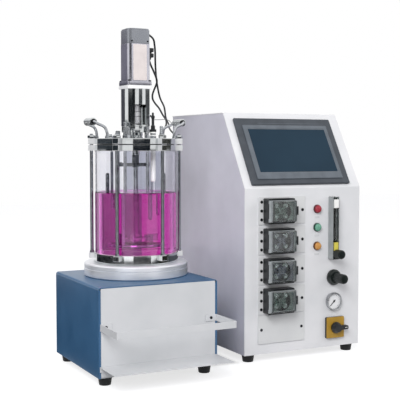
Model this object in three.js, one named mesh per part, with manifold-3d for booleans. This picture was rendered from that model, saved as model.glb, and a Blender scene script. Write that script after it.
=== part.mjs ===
// A bench bioreactor: a stirred glass vessel on its heating base, and the control cabinet beside it.
// Millimetres, +Z up. The object is modelled about the stirrer's axis, then set on its origin at the end.
import * as THREE from "three";
import { mergeVertices } from "three/addons/utils/BufferGeometryUtils.js";
import Module from "manifold-3d";

const wasm = await Module();
wasm.setup();

// ---------------------------------------------------------------- driving dimensions
const gap = 0.3; // clearance between pieces that touch
const sheet = 2; // folded sheet metal
const facets = { vessel: 40, knob: 20, lens: 16, pin: 12, screw: 8 }; // facets round a full turn

const base = {
  width: 285,
  depth: 291,
  height: 196,
  bend: 6, // outside radius of the cover's folds
  lip: 5, // cover's inward front and rear edges
  left: 157, // from the stirrer's axis to the left side
  front: 168, // from the stirrer's axis to the front
};
const foot = { height: 18.5, topRadius: 15.5, bottomRadius: 12.5, inset: 22 };
const shelf = { height: 26, depth: 86, thickness: 2, flange: 12, sideGap: 2 };
const rail = {
  height: 103, depth: 98, strip: 15, thickness: 2, sideGap: 3, tab: 27, screwRadius: 3.5, screwProud: 1.6,
};
const ring = {
  radius: 121.5, bore: 70, lowerHeight: 19, upperHeight: 12.5, groove: 1.5, chamfer: 2.5, edge: 1,
};

const glass = { radius: 96, wall: 5, length: 237 };
const gasket = { thickness: 1.6, width: 8 };
const vesselBase = { thickness: 21, seat: 2, rim: 3, seatInset: 1 };
const lug = { count: 6, angle: 43.2, boltCircle: 103, width: 15, thickness: 12, root: 14 };
const tieRod = { radius: 4, nutRadius: 9, nutHeight: 7, tip: 4 };
const clampRing = { thickness: 13, rim: 9 };
const lid = { thickness: 13, radius: 96, edge: 1 };
const hex = { height: 7, neckShare: 0.68 }; // of the hexagon foot of each lid fitting

const shaft = { radius: 6, belowImpeller: 14, intoTube: 22 };
const housing = {
  flangeRadius: 33, flangeHeight: 14, neckRadius: 17, neckHeight: 14, spigotRadius: 15,
  collarHeight: 9, hubRadius: 9.5, hubHeight: 14, nutRadius: 9, nutBelowArm: 2,
  screwRadius: 3.2, screwCircle: 26, screwAngle: 45, screwCount: 4, boreBelowArm: 10,
};
const driveTube = { radius: 34, wall: 3, length: 86, windowWidth: 29, windowHeight: 47, windowSill: 3 };
const adapter = { side: 60, thickness: 8, bore: 20 };
const motor = {
  flangeSide: 60, flangeThickness: 9, side: 58, chamfer: 7.5, length: 86.5, capLength: 34.5,
  capSide: 57.4, shaftRadius: 4, shaftSocket: 26, capExit: 10,
};
const connector = { reach: 13, halfWidth: 12, height: 22, belowCap: 29, neck: 3 };
const coupling = { radius: 14, length: 44, slit: 1.5, slitHeight: 8, aboveShaft: 6 };
const impeller = {
  height: 35, discRadius: 30, discThickness: 3, bladeCount: 6, bladeLength: 20, bladeHeight: 17,
  bladeThickness: 2.5, hubRadius: 10, hubHeight: 17,
};
const sparger = { height: 18, ringRadius: 47, tubeRadius: 4, riserTop: 6 };
const headTube = { radius: 4 };
const arm = { height: 8, thickness: 8, left: 48, right: 36, drop: 44 };
const liquid = { depth: 140, sideRoom: 12, roomAbove: 2 }; // room round the impeller's sweep
const heater = { radius: 4.5, length: 185, circle: 66, angle: -20 };
const phProbe = {
  bodyRadius: 6, bodyLength: 88, stemRadius: 4, stemLength: 78, capRadius: 5, capHeight: 48, tip: 4, flare: 2,
  flareHeight: 8, flareEdge: 1,
};
const handle = {
  wire: 3.3, footSpacing: 68, footRadius: 84, footCollar: 5, collarHeight: 5, gripRadius: 112,
  gripHeight: 37.5, gripLength: 46, gripThickness: 9, ribs: 5, ribDepth: 2.2,
  straight: 12, // of each leg, above its collar
  bendHeight: 25, // where the leg has moved out by the first share
  bends: [0.2, 0.75], // shares of the way out, at the bend and just under the grip
};

const cabinet = {
  width: 330,
  depth: 400,
  height: 579, // above the feet
  frontHeight: 397, // of the upright front, above the feet
  slopeDepth: 109,
  left: 226, // from the stirrer's axis to the cabinet's left side
  front: 121, // from the stirrer's axis forward to the cabinet's front
};
// stepLeft and the like: width of the raised step on each side of the screen.
const bezel = {
  width: 280, height: 186, left: 20, up: 7, thickness: 7, step: 2.5, rearInset: 14, rearDepth: 30,
  stepLeft: 14, stepRight: 9, stepTop: 12, stepBottom: 20,
};
// aside: how far the screen's middle lies to the right of the bezel's.
const screen = { width: 222, height: 120, thickness: 3, recess: 1.5, aside: 2 };
const pump = {
  count: 4, pitch: 71.6, firstHeight: 129, plateLeft: 36, plateWidth: 131, plateHeight: 66,
  plateThickness: 2.5, bodyLeft: 13, bodyWidth: 73, bodyHeight: 60, bodyDepth: 24, rotorRadius: 18,
  rotorDepth: 9, rollerRadius: 5.5, rollerCircle: 18, rollerCount: 4, trackRadius: 26, coverThickness: 2.5,
  coverDepth: 11, hingeRadius: 2.6, hingePin: 1.4, lugHeight: 4, motorRadius: 24, motorLength: 60,
  screwRadius: 3.6, screwInset: 8, screwSpacing: 21, screwProud: 1.5, spindleRadius: 3, spindleReach: 11,
  hubRadius: 8, discThickness: 2, latchWidth: 8, latchHeight: 20, latchProud: 5, coverInset: 1,
  pocketFloor: 3, // from the rotor's back to the pocket's floor
};
const blank = {
  left: 36, width: 131, bottom: 25, height: 68, thickness: 2.5,
  screwRadius: 3.6, screwInset: 9, screwProud: 1.5,
};
const lamp = {
  x: 203, heights: [344, 299, 253], lens: 9.2, bezel: 10.8, protrude: 10, body: 9, bodyLength: 32,
  rimHeight: 3, step: 1, domeHeight: 3, crownShare: 0.6, crownDrop: 0.6,
};
const flowMeter = {
  x: 245, bottom: 219.5, height: 154, width: 17, depth: 22, bore: 5.5, boreBottom: 46,
  floatRadius: 4.6, floatHeight: 9, floatTip: 2, floatCone: 4,
  knobRadius: 11, knobLength: 25, knobHeight: 14,
  spindle: 3, spindleDepth: 8,
};
const regulator = {
  x: 252, height: 173, flangeRadius: 19.5, flangeDepth: 11, knobRadius: 12, knobDepth: 38,
  stemRadius: 6, stemLength: 30,
};
const gauge = {
  x: 252, height: 113, radius: 22, rim: 3, depth: 10, recess: 5, canRadius: 20, canLength: 28,
  needleLength: 15, needleTail: 5, needleWidth: 2, needleThickness: 1, needleAngle: -135,
  bossRadius: 2.5, bossProud: 0.6, pinRadius: 1.2, pinLength: 6,
};
const mainSwitch = {
  x: 255, height: 48, side: 52, thickness: 8, knobRadius: 14, knobDepth: 15, leverWidth: 11,
  leverLength: 31, leverDepth: 12, stemRadius: 4, stemLength: 19, bodySide: 40, bodyLength: 45,
};
// straight: length of the run square to a rear gland, before the bend.
const cable = { radius: 2.3, gland: 4.5, glandLength: 6, straight: 16 };
const thinWire = { radius: 0.9, gland: 3, glandLength: 6, straight: 14, height: 25 };

// Lid fittings: where each stands, seen from above, and how high it is.
const fittings = {
  airInlet: { at: [-37, -26], radius: 6.5, height: 31 },
  samplePort: { at: [-40, 11], radius: 8, height: 18 },
  fillPort: { at: [-43, -54], radius: 8, height: 25 },
  thermowell: { at: [15, -35], radius: 6, height: 27 },
  probePort: { at: [34, -24], radius: 8, height: 12 },
  outlet: { at: [64, -5], radius: 7, height: 30 },
  plug: { at: [10, 62], radius: 8, height: 12 },
};
const dipDepth = { sampleTube: 150, thermowell: 175 }; // below the lid

// Cable glands on the cabinet's back, from its left side and from the floor.
const rearGlands = {
  cap: { x: 40, z: 530, radius: cable.gland, length: cable.glandLength },
  motor: { x: 40, z: 487, radius: cable.gland, length: cable.glandLength },
  sensor: { x: 24, z: 560, radius: thinWire.gland, length: thinWire.glandLength },
};

// ---------------------------------------------------------------- materials
const finish = (color, roughness, metalness = 0, extra = {}) =>
  new THREE.MeshStandardMaterial({ color, roughness, metalness, ...extra });
const bluePaint = finish(0x4f7ba6, 0.45);
const whitePaint = finish(0xf2f2f4, 0.4);
const greyPaint = finish(0xc4c3d0, 0.45);
const blackRubber = finish(0x17181a, 0.8);
const polishedSteel = finish(0xd8dadd, 0.12, 1);
const satinAluminium = finish(0xcfd0d6, 0.35, 1);
const clearGlass = finish(0xffffff, 0.05, 0, { transparent: true, opacity: 0.25 });
const culture = finish(0xb02a86, 0.15, 0, { transparent: true, opacity: 0.85 });
const silicone = finish(0xe9e9e6, 0.6);
const greyPlastic = finish(0x8d9094, 0.5);
const blackPlastic = finish(0x1b1c1f, 0.45);
const darkScreen = finish(0x1d2733, 0.15);
const motorPaint = finish(0xb9bac2, 0.4, 0.4);
const yellowPlastic = finish(0xe8b400, 0.45);
const dialWhite = finish(0xf4f4f2, 0.5);
const redLens = finish(0xd0202a, 0.2);
const greenLens = finish(0x17914a, 0.2);
const amberLens = finish(0xd9902a, 0.2);

// ---------------------------------------------------------------- shapes
function solidOf(geometry) {
  const bare = geometry.clone();
  bare.deleteAttribute("normal");
  bare.deleteAttribute("uv");
  const merged = mergeVertices(bare, 1e-3);
  const triVerts = new Uint32Array(merged.index.array);
  const vertProperties = new Float32Array(merged.attributes.position.array);
  const made = new wasm.Manifold(new wasm.Mesh({ numProp: 3, vertProperties, triVerts }));
  if (made.volume() >= 0) return made;
  for (let i = 0; i < triVerts.length; i += 3)
    [triVerts[i], triVerts[i + 1]] = [triVerts[i + 1], triVerts[i]];
  return new wasm.Manifold(new wasm.Mesh({ numProp: 3, vertProperties, triVerts }));
}

function geometryOf(solid) {
  const mesh = solid.getMesh();
  return new THREE.BufferGeometry()
    .setAttribute("position", new THREE.BufferAttribute(new Float32Array(mesh.vertProperties), 3))
    .setIndex(new THREE.BufferAttribute(new Uint32Array(mesh.triVerts), 1));
}

const join = (...shapes) => geometryOf(shapes.map(solidOf).reduce((a, b) => a.add(b)));
const cut = (shape, ...tools) =>
  geometryOf(tools.map(solidOf).reduce((a, b) => a.subtract(b), solidOf(shape)));

// A box between two corners.
function block(x0, x1, y0, y1, z0, z1) {
  return new THREE.BoxGeometry(x1 - x0, y1 - y0, z1 - z0).translate(
    (x0 + x1) / 2, (y0 + y1) / 2, (z0 + z1) / 2,
  );
}

// A body of revolution about Z, from [radius, height] pairs that start and end on the axis or close.
function turned(profile, segments = facets.knob) {
  const points = profile.map(([r, z]) => new THREE.Vector2(r, z));
  return new THREE.LatheGeometry(points, segments).rotateX(Math.PI / 2);
}

const upright = (radius, z0, z1, segments = facets.pin) =>
  turned([[0, z0], [radius, z0], [radius, z1], [0, z1]], segments);

// A tube standing on Z: outer and inner radius between two heights.
const pipe = (outer, inner, z0, z1, segments = facets.vessel) =>
  turned([[inner, z0], [outer, z0], [outer, z1], [inner, z1], [inner, z0]], segments);

// A cylinder along Y, from y0 to y1.
const spigot = (radius, y0, y1, x = 0, z = 0, segments = facets.knob) =>
  upright(radius, -y1, -y0, segments).rotateX(Math.PI / 2).translate(x, 0, z);

// A cylinder along X, from x0 to x1.
const crossPin = (radius, x0, x1, y, z, segments = facets.pin) =>
  upright(radius, x0, x1, segments).rotateY(Math.PI / 2).translate(0, y, z);

// An outline in the XZ plane, pushed along Y.
function extrudedY(outline, y0, y1) {
  const shape = new THREE.Shape(outline.map(([x, z]) => new THREE.Vector2(x, z)));
  return new THREE.ExtrudeGeometry(shape, { depth: y1 - y0, bevelEnabled: false })
    .rotateX(Math.PI / 2)
    .translate(0, y1, 0);
}

// An outline in the YZ plane, pushed along X.
function extrudedX(outline, x0, x1) {
  const shape = new THREE.Shape(outline.map(([y, z]) => new THREE.Vector2(y, z)));
  return new THREE.ExtrudeGeometry(shape, { depth: x1 - x0, bevelEnabled: false })
    .rotateX(Math.PI / 2)
    .rotateZ(Math.PI / 2)
    .translate(x0, 0, 0);
}

// A round wire through points, with flat ends.
function wire(points, radius, sides, steps) {
  const path = new THREE.CatmullRomCurve3(points.map((p) => new THREE.Vector3(...p)));
  const section = new THREE.Shape();
  for (let i = 0; i < sides; i++) {
    const a = (2 * Math.PI * i) / sides;
    if (i === 0) section.moveTo(radius, 0);
    else section.lineTo(radius * Math.cos(a), radius * Math.sin(a));
  }
  section.closePath();
  return new THREE.ExtrudeGeometry(section, { steps, extrudePath: path, bevelEnabled: false });
}

const polar = (radius, degrees) => {
  const a = THREE.MathUtils.degToRad(degrees);
  return [radius * Math.cos(a), radius * Math.sin(a)];
};

// The part of an arc of a fold: points from one angle to another about a centre.
function arc(cx, cz, radius, from, to, steps = 4) {
  return Array.from({ length: steps + 1 }, (_, i) => {
    const a = THREE.MathUtils.degToRad(from + ((to - from) * i) / steps);
    return [cx + radius * Math.cos(a), cz + radius * Math.sin(a)];
  });
}

const bench = new THREE.Group();
const vesselUnit = new THREE.Group();
const controlUnit = new THREE.Group();
controlUnit.position.set(cabinet.left, -cabinet.front, 0);
bench.add(vesselUnit, controlUnit);

function place(group, name, geometry, material, position = [0, 0, 0]) {
  const mesh = new THREE.Mesh(geometry, material);
  mesh.name = name;
  mesh.position.set(...position);
  group.add(mesh);
  return mesh;
}

// One tapered rubber foot with its top at z = foot.height.
const rubberFoot = (x, y) =>
  turned([
    [0, 0], [foot.bottomRadius, 0], [foot.topRadius, foot.height], [0, foot.height],
  ], facets.pin).translate(x, y, 0);

// ---------------------------------------------------------------- heating base
const left = -base.left;
const right = left + base.width;
const front = -base.front;
const rear = front + base.depth;
const deck = foot.height + base.height; // top of the cover

function baseCover() {
  const r = base.bend;
  const outline = [
    [left, foot.height], ...arc(left + r, deck - r, r, 180, 90), ...arc(right - r, deck - r, r, 90, 0),
    [right, foot.height], [right - sheet, foot.height],
    ...arc(right - r, deck - r, r - sheet, 0, 90), ...arc(left + r, deck - r, r - sheet, 90, 180),
    [left + sheet, foot.height],
  ];
  const lips = [front, rear - sheet].flatMap((y) =>
    [left + sheet / 2, right - base.lip].map((x) =>
      block(x, x + base.lip - sheet / 2, y, y + sheet, foot.height, deck - sheet / 2)));
  return join(extrudedY(outline, front, rear), ...lips);
}

function basePanel(y) {
  return block(left + base.lip + gap, right - base.lip - gap, y, y + sheet,
    foot.height + sheet + gap, deck - sheet - gap);
}

function baseFloor() {
  const plate = block(left + sheet + gap, right - sheet - gap, front + sheet + gap, rear - sheet - gap,
    foot.height, foot.height + sheet);
  const feet = [left + foot.inset, right - foot.inset].flatMap((x) =>
    [front + foot.inset, rear - foot.inset].map((y) => rubberFoot(x, y)));
  return join(plate, ...feet);
}

function shelfPlate() {
  const z = foot.height + shelf.height;
  const y = front - gap;
  const x0 = left + shelf.sideGap;
  const x1 = right - shelf.sideGap;
  return join(
    block(x0, x1, y - shelf.depth, y, z - shelf.thickness, z),
    block(x0, x1, y - shelf.thickness, y, z - shelf.flange, z - shelf.thickness / 2),
  );
}

// The rail's strip stands on edge: a U seen from above, with its two ends turned in against the panel.
function bottleRail() {
  const z0 = foot.height + rail.height;
  const t = rail.thickness;
  const x0 = left + rail.sideGap;
  const x1 = right - rail.sideGap;
  const yFront = front - gap - rail.depth;
  const yBack = front - gap;
  const z1 = z0 + rail.strip;
  const zMid = (z0 + z1) / 2;
  const screw = (x) =>
    spigot(rail.screwRadius, yBack - t - rail.screwProud, yBack - t / 2, x, zMid, facets.screw);
  return join(
    block(x0, x1, yFront, yFront + t, z0, z1),
    block(x0, x0 + t, yFront + t / 2, yBack, z0, z1),
    block(x1 - t, x1, yFront + t / 2, yBack, z0, z1),
    block(x0 + t / 2, x0 + rail.tab, yBack - t, yBack, z0, z1),
    block(x1 - rail.tab, x1 - t / 2, yBack - t, yBack, z0, z1),
    screw(x0 + rail.tab / 2),
    screw(x1 - rail.tab / 2),
  );
}

place(vesselUnit, "base_cover", baseCover(), bluePaint);
place(vesselUnit, "base_front_panel", basePanel(front), whitePaint);
place(vesselUnit, "base_rear_panel", basePanel(rear - sheet), whitePaint);
place(vesselUnit, "base_floor", baseFloor(), blackRubber);
place(vesselUnit, "shelf_plate", shelfPlate(), whitePaint);
place(vesselUnit, "bottle_rail", bottleRail(), whitePaint);

const ringBottom = deck + gap;
const ringTop = ringBottom + ring.lowerHeight + ring.upperHeight;
function supportRing() {
  const waist = ringBottom + ring.lowerHeight;
  const { radius, bore, groove, chamfer, edge } = ring;
  return turned([
    [bore, ringBottom], [radius - edge, ringBottom], [radius, ringBottom + edge],
    [radius, waist - groove / 2], [radius - groove, waist], [radius, waist + groove / 2],
    [radius, ringTop - chamfer],
    [radius - chamfer, ringTop], [bore, ringTop], [bore, ringBottom],
  ], facets.vessel);
}
place(vesselUnit, "support_ring", supportRing(), satinAluminium);

// ---------------------------------------------------------------- vessel
const basePlateBottom = ringTop + gap;
const basePlateTop = basePlateBottom + vesselBase.thickness;
const glassBottom = basePlateTop - vesselBase.seat + gasket.thickness + 2 * gap;
const glassTop = glassBottom + glass.length;
const clampBottom = glassTop + gap;
const clampTop = clampBottom + clampRing.thickness;
const sealTop = clampTop + gap + gasket.thickness;
const lidBottom = sealTop + gap;
const lidTop = lidBottom + lid.thickness;
const lugAngles = Array.from({ length: lug.count }, (_, i) => lug.angle + (360 / lug.count) * i);

// The square ears that carry the tie rods, between two heights.
function lugs(z0, z1) {
  const half = lug.width / 2;
  const ear = block(glass.radius - lug.root, lug.boltCircle + half, -half, half, z0, z1);
  return lugAngles.map((angle) => ear.clone().rotateZ(THREE.MathUtils.degToRad(angle)));
}
const boltHoles = (z0, z1) =>
  lugAngles.map((angle) => {
    const [x, y] = polar(lug.boltCircle, angle);
    return upright(tieRod.radius + gap, z0 - 1, z1 + 1, facets.screw).translate(x, y, 0);
  });

const heaterAngles = [heater.angle, heater.angle + 180];
function vesselBasePlate() {
  const seatInner = glass.radius - glass.wall - vesselBase.seatInset;
  const seat = pipe(glass.radius + gap, seatInner, basePlateTop - vesselBase.seat, basePlateTop + 1);
  const rodTop = lidTop + tieRod.nutHeight + tieRod.tip;
  const rods = lugAngles.flatMap((angle) => {
    const [x, y] = polar(lug.boltCircle, angle);
    return [
      upright(tieRod.radius, basePlateTop - lug.thickness / 2, rodTop, facets.screw).translate(x, y, 0),
      upright(tieRod.nutRadius, lidTop + gap, lidTop + gap + tieRod.nutHeight).translate(x, y, 0),
    ];
  });
  const disc = turned([
    [0, basePlateBottom], [glass.radius + vesselBase.rim, basePlateBottom],
    [glass.radius + vesselBase.rim, basePlateTop], [0, basePlateTop],
  ], facets.vessel);
  const heaters = heaterAngles.map((angle) => {
    const [x, y] = polar(heater.circle, angle);
    return upright(heater.radius, basePlateTop - 1, basePlateTop + heater.length, facets.screw)
      .translate(x, y, 0);
  });
  const plate = join(disc, ...lugs(basePlateTop - lug.thickness, basePlateTop));
  return join(cut(plate, seat), ...rods, ...heaters);
}
place(vesselUnit, "vessel_base_plate", vesselBasePlate(), polishedSteel);
place(vesselUnit, "lower_gasket",
  pipe(glass.radius, glass.radius - glass.wall, glassBottom - gap - gasket.thickness, glassBottom - gap),
  silicone);
place(vesselUnit, "glass_jar",
  pipe(glass.radius, glass.radius - glass.wall, glassBottom, glassTop, facets.vessel), clearGlass);

function clampRingShape() {
  const bore = glass.radius - glass.wall - clampRing.rim;
  const body = pipe(lid.radius, bore, clampBottom, clampTop);
  return cut(join(body, ...lugs(clampBottom, clampTop)), ...boltHoles(clampBottom, clampTop));
}
place(vesselUnit, "clamp_ring", clampRingShape(), polishedSteel);
const gasketInner = glass.radius - glass.wall - clampRing.rim;
place(vesselUnit, "upper_gasket",
  pipe(gasketInner + gasket.width, gasketInner, clampTop + gap, sealTop), silicone);

// A hexagonal fitting with a round neck above it.
function fitting({ at: [x, y], radius, height }) {
  const hexTop = lidTop + Math.min(hex.height, height / 2);
  return join(
    upright(radius, lidTop - 1, hexTop, 6).translate(x, y, 0),
    upright(radius * hex.neckShare, hexTop - 1, lidTop + height, facets.screw).translate(x, y, 0),
  );
}

function lidShape() {
  const disc = turned([
    [0, lidBottom], [lid.radius, lidBottom], [lid.radius, lidTop - lid.edge], [lid.radius - lid.edge, lidTop],
    [0, lidTop],
  ], facets.vessel);
  const dip = (name, depth) => {
    const [x, y] = fittings[name].at;
    return upright(headTube.radius, lidBottom - depth, lidBottom + 1, facets.screw).translate(x, y, 0);
  };
  const solid = join(
    disc, ...lugs(lidBottom, lidTop), ...Object.values(fittings).map(fitting),
    dip("samplePort", dipDepth.sampleTube), dip("thermowell", dipDepth.thermowell),
  );
  const bores = [
    upright(housing.spigotRadius + gap, lidBottom - 1, lidTop + 1, facets.knob),
    upright(headTube.radius + gap, lidBottom - 1, lidTop + fittings.airInlet.height + 1, facets.screw)
      .translate(...fittings.airInlet.at, 0),
    upright(phProbe.bodyRadius + gap, lidBottom - 1, lidTop + fittings.probePort.height + 1)
      .translate(...fittings.probePort.at, 0),
  ];
  return cut(solid, ...boltHoles(lidBottom, lidTop), ...bores);
}
place(vesselUnit, "lid", lidShape(), polishedSteel);

// ---------------------------------------------------------------- handles
function handleBail(side) {
  const half = handle.footSpacing / 2;
  const z = lidTop + gap;
  const topZ = lidTop + handle.gripHeight;
  const outward = handle.gripRadius - handle.footRadius;
  const barHalf = handle.gripLength / 2;
  const leg = [
    [half, 0, 0], [half, 0, handle.straight], [half - 1, outward * handle.bends[0], handle.bendHeight],
    [half - 3, outward * handle.bends[1], handle.gripHeight - 5],
    [barHalf + 3, outward, handle.gripHeight], [barHalf - 2, outward, handle.gripHeight],
  ];
  const points = [
    ...leg.map(([u, r, h]) => [side * (handle.footRadius + r), u, z + h]),
    [side * handle.gripRadius, 0, topZ + gap],
    ...leg.toReversed().map(([u, r, h]) => [side * (handle.footRadius + r), -u, z + h]),
  ];
  const collar = upright(handle.footCollar, z, z + handle.collarHeight, facets.screw);
  const collars = [-half, half].map((u) => collar.clone().translate(side * handle.footRadius, u, 0));
  return join(wire(points, handle.wire, facets.screw, 24), ...collars);
}

function handleGrip(side) {
  const half = handle.gripLength / 2;
  const outer = handle.gripThickness;
  const bore = handle.wire + 2 * gap;
  const pitch = handle.gripLength / handle.ribs;
  const ribs = Array.from({ length: handle.ribs }, (_, i) => {
    const y0 = -half + i * pitch;
    return [[outer - handle.ribDepth, y0], [outer, y0 + pitch / 2]];
  }).flat();
  const profile = [[bore, -half], ...ribs, [outer - handle.ribDepth, half], [bore, half], [bore, -half]];
  return turned(profile, facets.pin)
    .rotateX(Math.PI / 2)
    .translate(side * handle.gripRadius, 0, lidTop + handle.gripHeight + gap);
}
for (const [name, side] of [["left", -1], ["right", 1]]) {
  place(vesselUnit, `handle_${name}`, handleBail(side), polishedSteel);
  place(vesselUnit, `handle_grip_${name}`, handleGrip(side), polishedSteel);
}

// ---------------------------------------------------------------- stirrer drive
const neckTop = lidTop + housing.neckHeight;
const flangeTop = neckTop + housing.flangeHeight;
const tubeBottom = flangeTop + gap;
const tubeTop = tubeBottom + driveTube.length;
const adapterBottom = tubeTop + gap;
const adapterTop = adapterBottom + adapter.thickness;
const motorBottom = adapterTop + gap;
const motorFlangeTop = motorBottom + motor.flangeThickness;
const capBottom = motorFlangeTop + motor.length;
const capTop = capBottom + motor.capLength;
const collarBottom = lidBottom - gap - housing.collarHeight;
const hubBottom = collarBottom - housing.hubHeight;
const armZ = lidBottom - arm.drop - arm.height;

// The bearing housing: flange on its neck and screws above the lid, collar, hub and tube arm below it.
function driveHousing() {
  const h = housing;
  const body = turned([
    [0, hubBottom], [h.hubRadius, hubBottom], [h.hubRadius, collarBottom], [h.spigotRadius, collarBottom],
    [h.spigotRadius, lidTop + gap], [h.neckRadius, lidTop + gap], [h.neckRadius, neckTop],
    [h.flangeRadius, neckTop], [h.flangeRadius, flangeTop], [0, flangeTop],
  ], facets.knob);
  const nut = upright(h.nutRadius, armZ - h.nutBelowArm, hubBottom + 1, 6);
  const bar = block(-arm.left, arm.right, -arm.thickness / 2, arm.thickness / 2, armZ, armZ + arm.height);
  const screws = Array.from({ length: h.screwCount }, (_, i) => {
    const [x, y] = polar(h.screwCircle, h.screwAngle + (360 / h.screwCount) * i);
    return upright(h.screwRadius, lidTop + gap, neckTop + 1, facets.screw).translate(x, y, 0);
  });
  const bore = upright(shaft.radius + gap, armZ - h.boreBelowArm, flangeTop + 1);
  return cut(join(body, nut, bar, ...screws), bore);
}
place(vesselUnit, "drive_housing", driveHousing(), polishedSteel);

const sensorZ = tubeBottom + thinWire.height;
function driveTubeShape() {
  const { radius, wall, windowWidth, windowHeight, windowSill } = driveTube;
  const z0 = tubeBottom + windowSill;
  const window = block(-windowWidth / 2, windowWidth / 2, -radius - 5, 0, z0, z0 + windowHeight);
  const gland = crossPin(thinWire.gland, radius - wall / 2, radius + thinWire.glandLength, 0, sensorZ);
  return join(cut(pipe(radius, radius - wall, tubeBottom, tubeTop), window), gland);
}
place(vesselUnit, "drive_tube", driveTubeShape(), polishedSteel);

const squarePlate = (side, z0, z1) => block(-side / 2, side / 2, -side / 2, side / 2, z0, z1);
place(vesselUnit, "adapter_plate", cut(
  squarePlate(adapter.side, adapterBottom, adapterTop),
  upright(adapter.bore, adapterBottom - 1, adapterTop + 1, facets.knob),
), satinAluminium);

// A square prism with its four upright corners cut off.
function chamferedPrism(side, chamfer, z0, z1) {
  const h = side / 2;
  const c = chamfer;
  const outline = [
    [-h + c, -h], [h - c, -h], [h, -h + c], [h, h - c], [h - c, h], [-h + c, h], [-h, h - c], [-h, -h + c],
  ];
  const shape = new THREE.Shape(outline.map(([x, y]) => new THREE.Vector2(x, y)));
  return new THREE.ExtrudeGeometry(shape, { depth: z1 - z0, bevelEnabled: false }).translate(0, 0, z0);
}

const capExitZ = capTop - motor.capExit;
const connectorBottom = capBottom - connector.belowCap;
const connectorX = motor.side / 2 + connector.reach / 2;
const motorGlandBottom = connectorBottom - cable.glandLength;

// Flange, body and the connector pair on its side. The motor's shaft turns with the stirrer, so it belongs
// to the coupling, and the body is bored for it.
function motorBody() {
  const { reach, halfWidth, height, neck } = connector;
  const side = motor.side / 2;
  const plugHeight = (height - neck) / 2;
  const plugs = [connectorBottom, connectorBottom + plugHeight + neck].map((z) =>
    block(side - 1, side + reach, -halfWidth, halfWidth, z, z + plugHeight));
  return cut(
    join(
      squarePlate(motor.flangeSide, motorBottom, motorFlangeTop),
      chamferedPrism(motor.side, motor.chamfer, motorFlangeTop - 1, capBottom),
      block(side - 1, side + reach - neck, neck - halfWidth, halfWidth - neck,
        connectorBottom + 1, connectorBottom + height - 1),
      ...plugs,
      upright(cable.gland, motorGlandBottom, connectorBottom + 1).translate(connectorX, 0, 0),
    ),
    upright(motor.shaftRadius + 2 * gap, motorBottom - 1, motorBottom + motor.shaftSocket + gap),
  );
}
place(vesselUnit, "motor_body", motorBody(), motorPaint);
place(vesselUnit, "motor_cap", join(
  chamferedPrism(motor.capSide, motor.chamfer, capBottom + gap, capTop),
  crossPin(cable.gland, motor.capSide / 2 - 1, motor.capSide / 2 + cable.glandLength, 0, capExitZ),
), greyPlastic);

const shaftBottom = basePlateTop + impeller.height - shaft.belowImpeller;
const shaftTop = tubeBottom + shaft.intoTube;
const couplingBottom = shaftTop - coupling.length / 2 + coupling.aboveShaft;
const couplingTop = couplingBottom + coupling.length;
place(vesselUnit, "stirrer_shaft",
  upright(shaft.radius, shaftBottom, shaftTop), polishedSteel);
place(vesselUnit, "shaft_coupling", cut(
  join(upright(coupling.radius, couplingBottom, couplingTop, facets.knob),
    upright(motor.shaftRadius, couplingTop - 1, motorBottom + motor.shaftSocket)),
  upright(shaft.radius + gap, couplingBottom - 1, shaftTop + gap),
  block(0, coupling.radius + 1, -coupling.slit / 2, coupling.slit / 2, couplingBottom - 1,
    couplingBottom + coupling.slitHeight),
), satinAluminium);

// A six-bladed disc turbine.
function turbine() {
  const z = basePlateTop + impeller.height;
  const t = impeller.discThickness / 2;
  const halfLength = impeller.bladeLength / 2;
  const halfThickness = impeller.bladeThickness / 2;
  const halfHeight = impeller.bladeHeight / 2;
  const blade = block(impeller.discRadius - halfLength, impeller.discRadius + halfLength,
    -halfThickness, halfThickness, z - halfHeight, z + halfHeight);
  const blades = Array.from({ length: impeller.bladeCount }, (_, i) =>
    blade.clone().rotateZ((2 * Math.PI * i) / impeller.bladeCount));
  return cut(
    join(upright(impeller.discRadius, z - t, z + t, facets.knob),
      upright(impeller.hubRadius, z - impeller.hubHeight / 2, z + impeller.hubHeight / 2), ...blades),
    upright(shaft.radius + gap, z - impeller.hubHeight, z + impeller.hubHeight),
  );
}
place(vesselUnit, "impeller", turbine(), polishedSteel);

// ---------------------------------------------------------------- tubes and probes in the vessel
// A ring of tube near the bottom, fed by one riser through the lid and braced to it by a spoke.
function spargerShape() {
  const z = basePlateTop + sparger.height;
  const [x, y] = fittings.airInlet.at;
  const reach = Math.hypot(x, y);
  const toward = Math.atan2(y, x);
  const loop = new THREE.TorusGeometry(sparger.ringRadius, sparger.tubeRadius, facets.screw, facets.knob)
    .translate(0, 0, z);
  const spoke = crossPin(sparger.tubeRadius, reach - 1, sparger.ringRadius, 0, z, facets.screw)
    .rotateZ(toward);
  const riserTop = lidTop + fittings.airInlet.height + sparger.riserTop;
  const riser = upright(headTube.radius, z - headTube.radius, riserTop, facets.screw).translate(x, y, 0);
  return join(loop, spoke, riser);
}
place(vesselUnit, "sparger", spargerShape(), polishedSteel);

function phProbeShape() {
  const [x, y] = fittings.probePort.at;
  const top = lidTop + fittings.probePort.height + gap;
  const { bodyRadius, stemRadius, capRadius, capHeight, tip, flare, flareHeight, flareEdge } = phProbe;
  const bodyBottom = lidBottom - phProbe.bodyLength;
  const stemBottom = bodyBottom - phProbe.stemLength;
  return turned([
    [0, stemBottom], [stemRadius, stemBottom + tip], [stemRadius, bodyBottom], [bodyRadius, bodyBottom],
    [bodyRadius, top], [bodyRadius + flare, top], [bodyRadius + flare, top + flareHeight],
    [capRadius, top + flareHeight + flareEdge], [capRadius, top + capHeight], [0, top + capHeight],
  ], facets.pin).translate(x, y, 0);
}
place(vesselUnit, "ph_probe", phProbeShape(), silicone);

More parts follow.
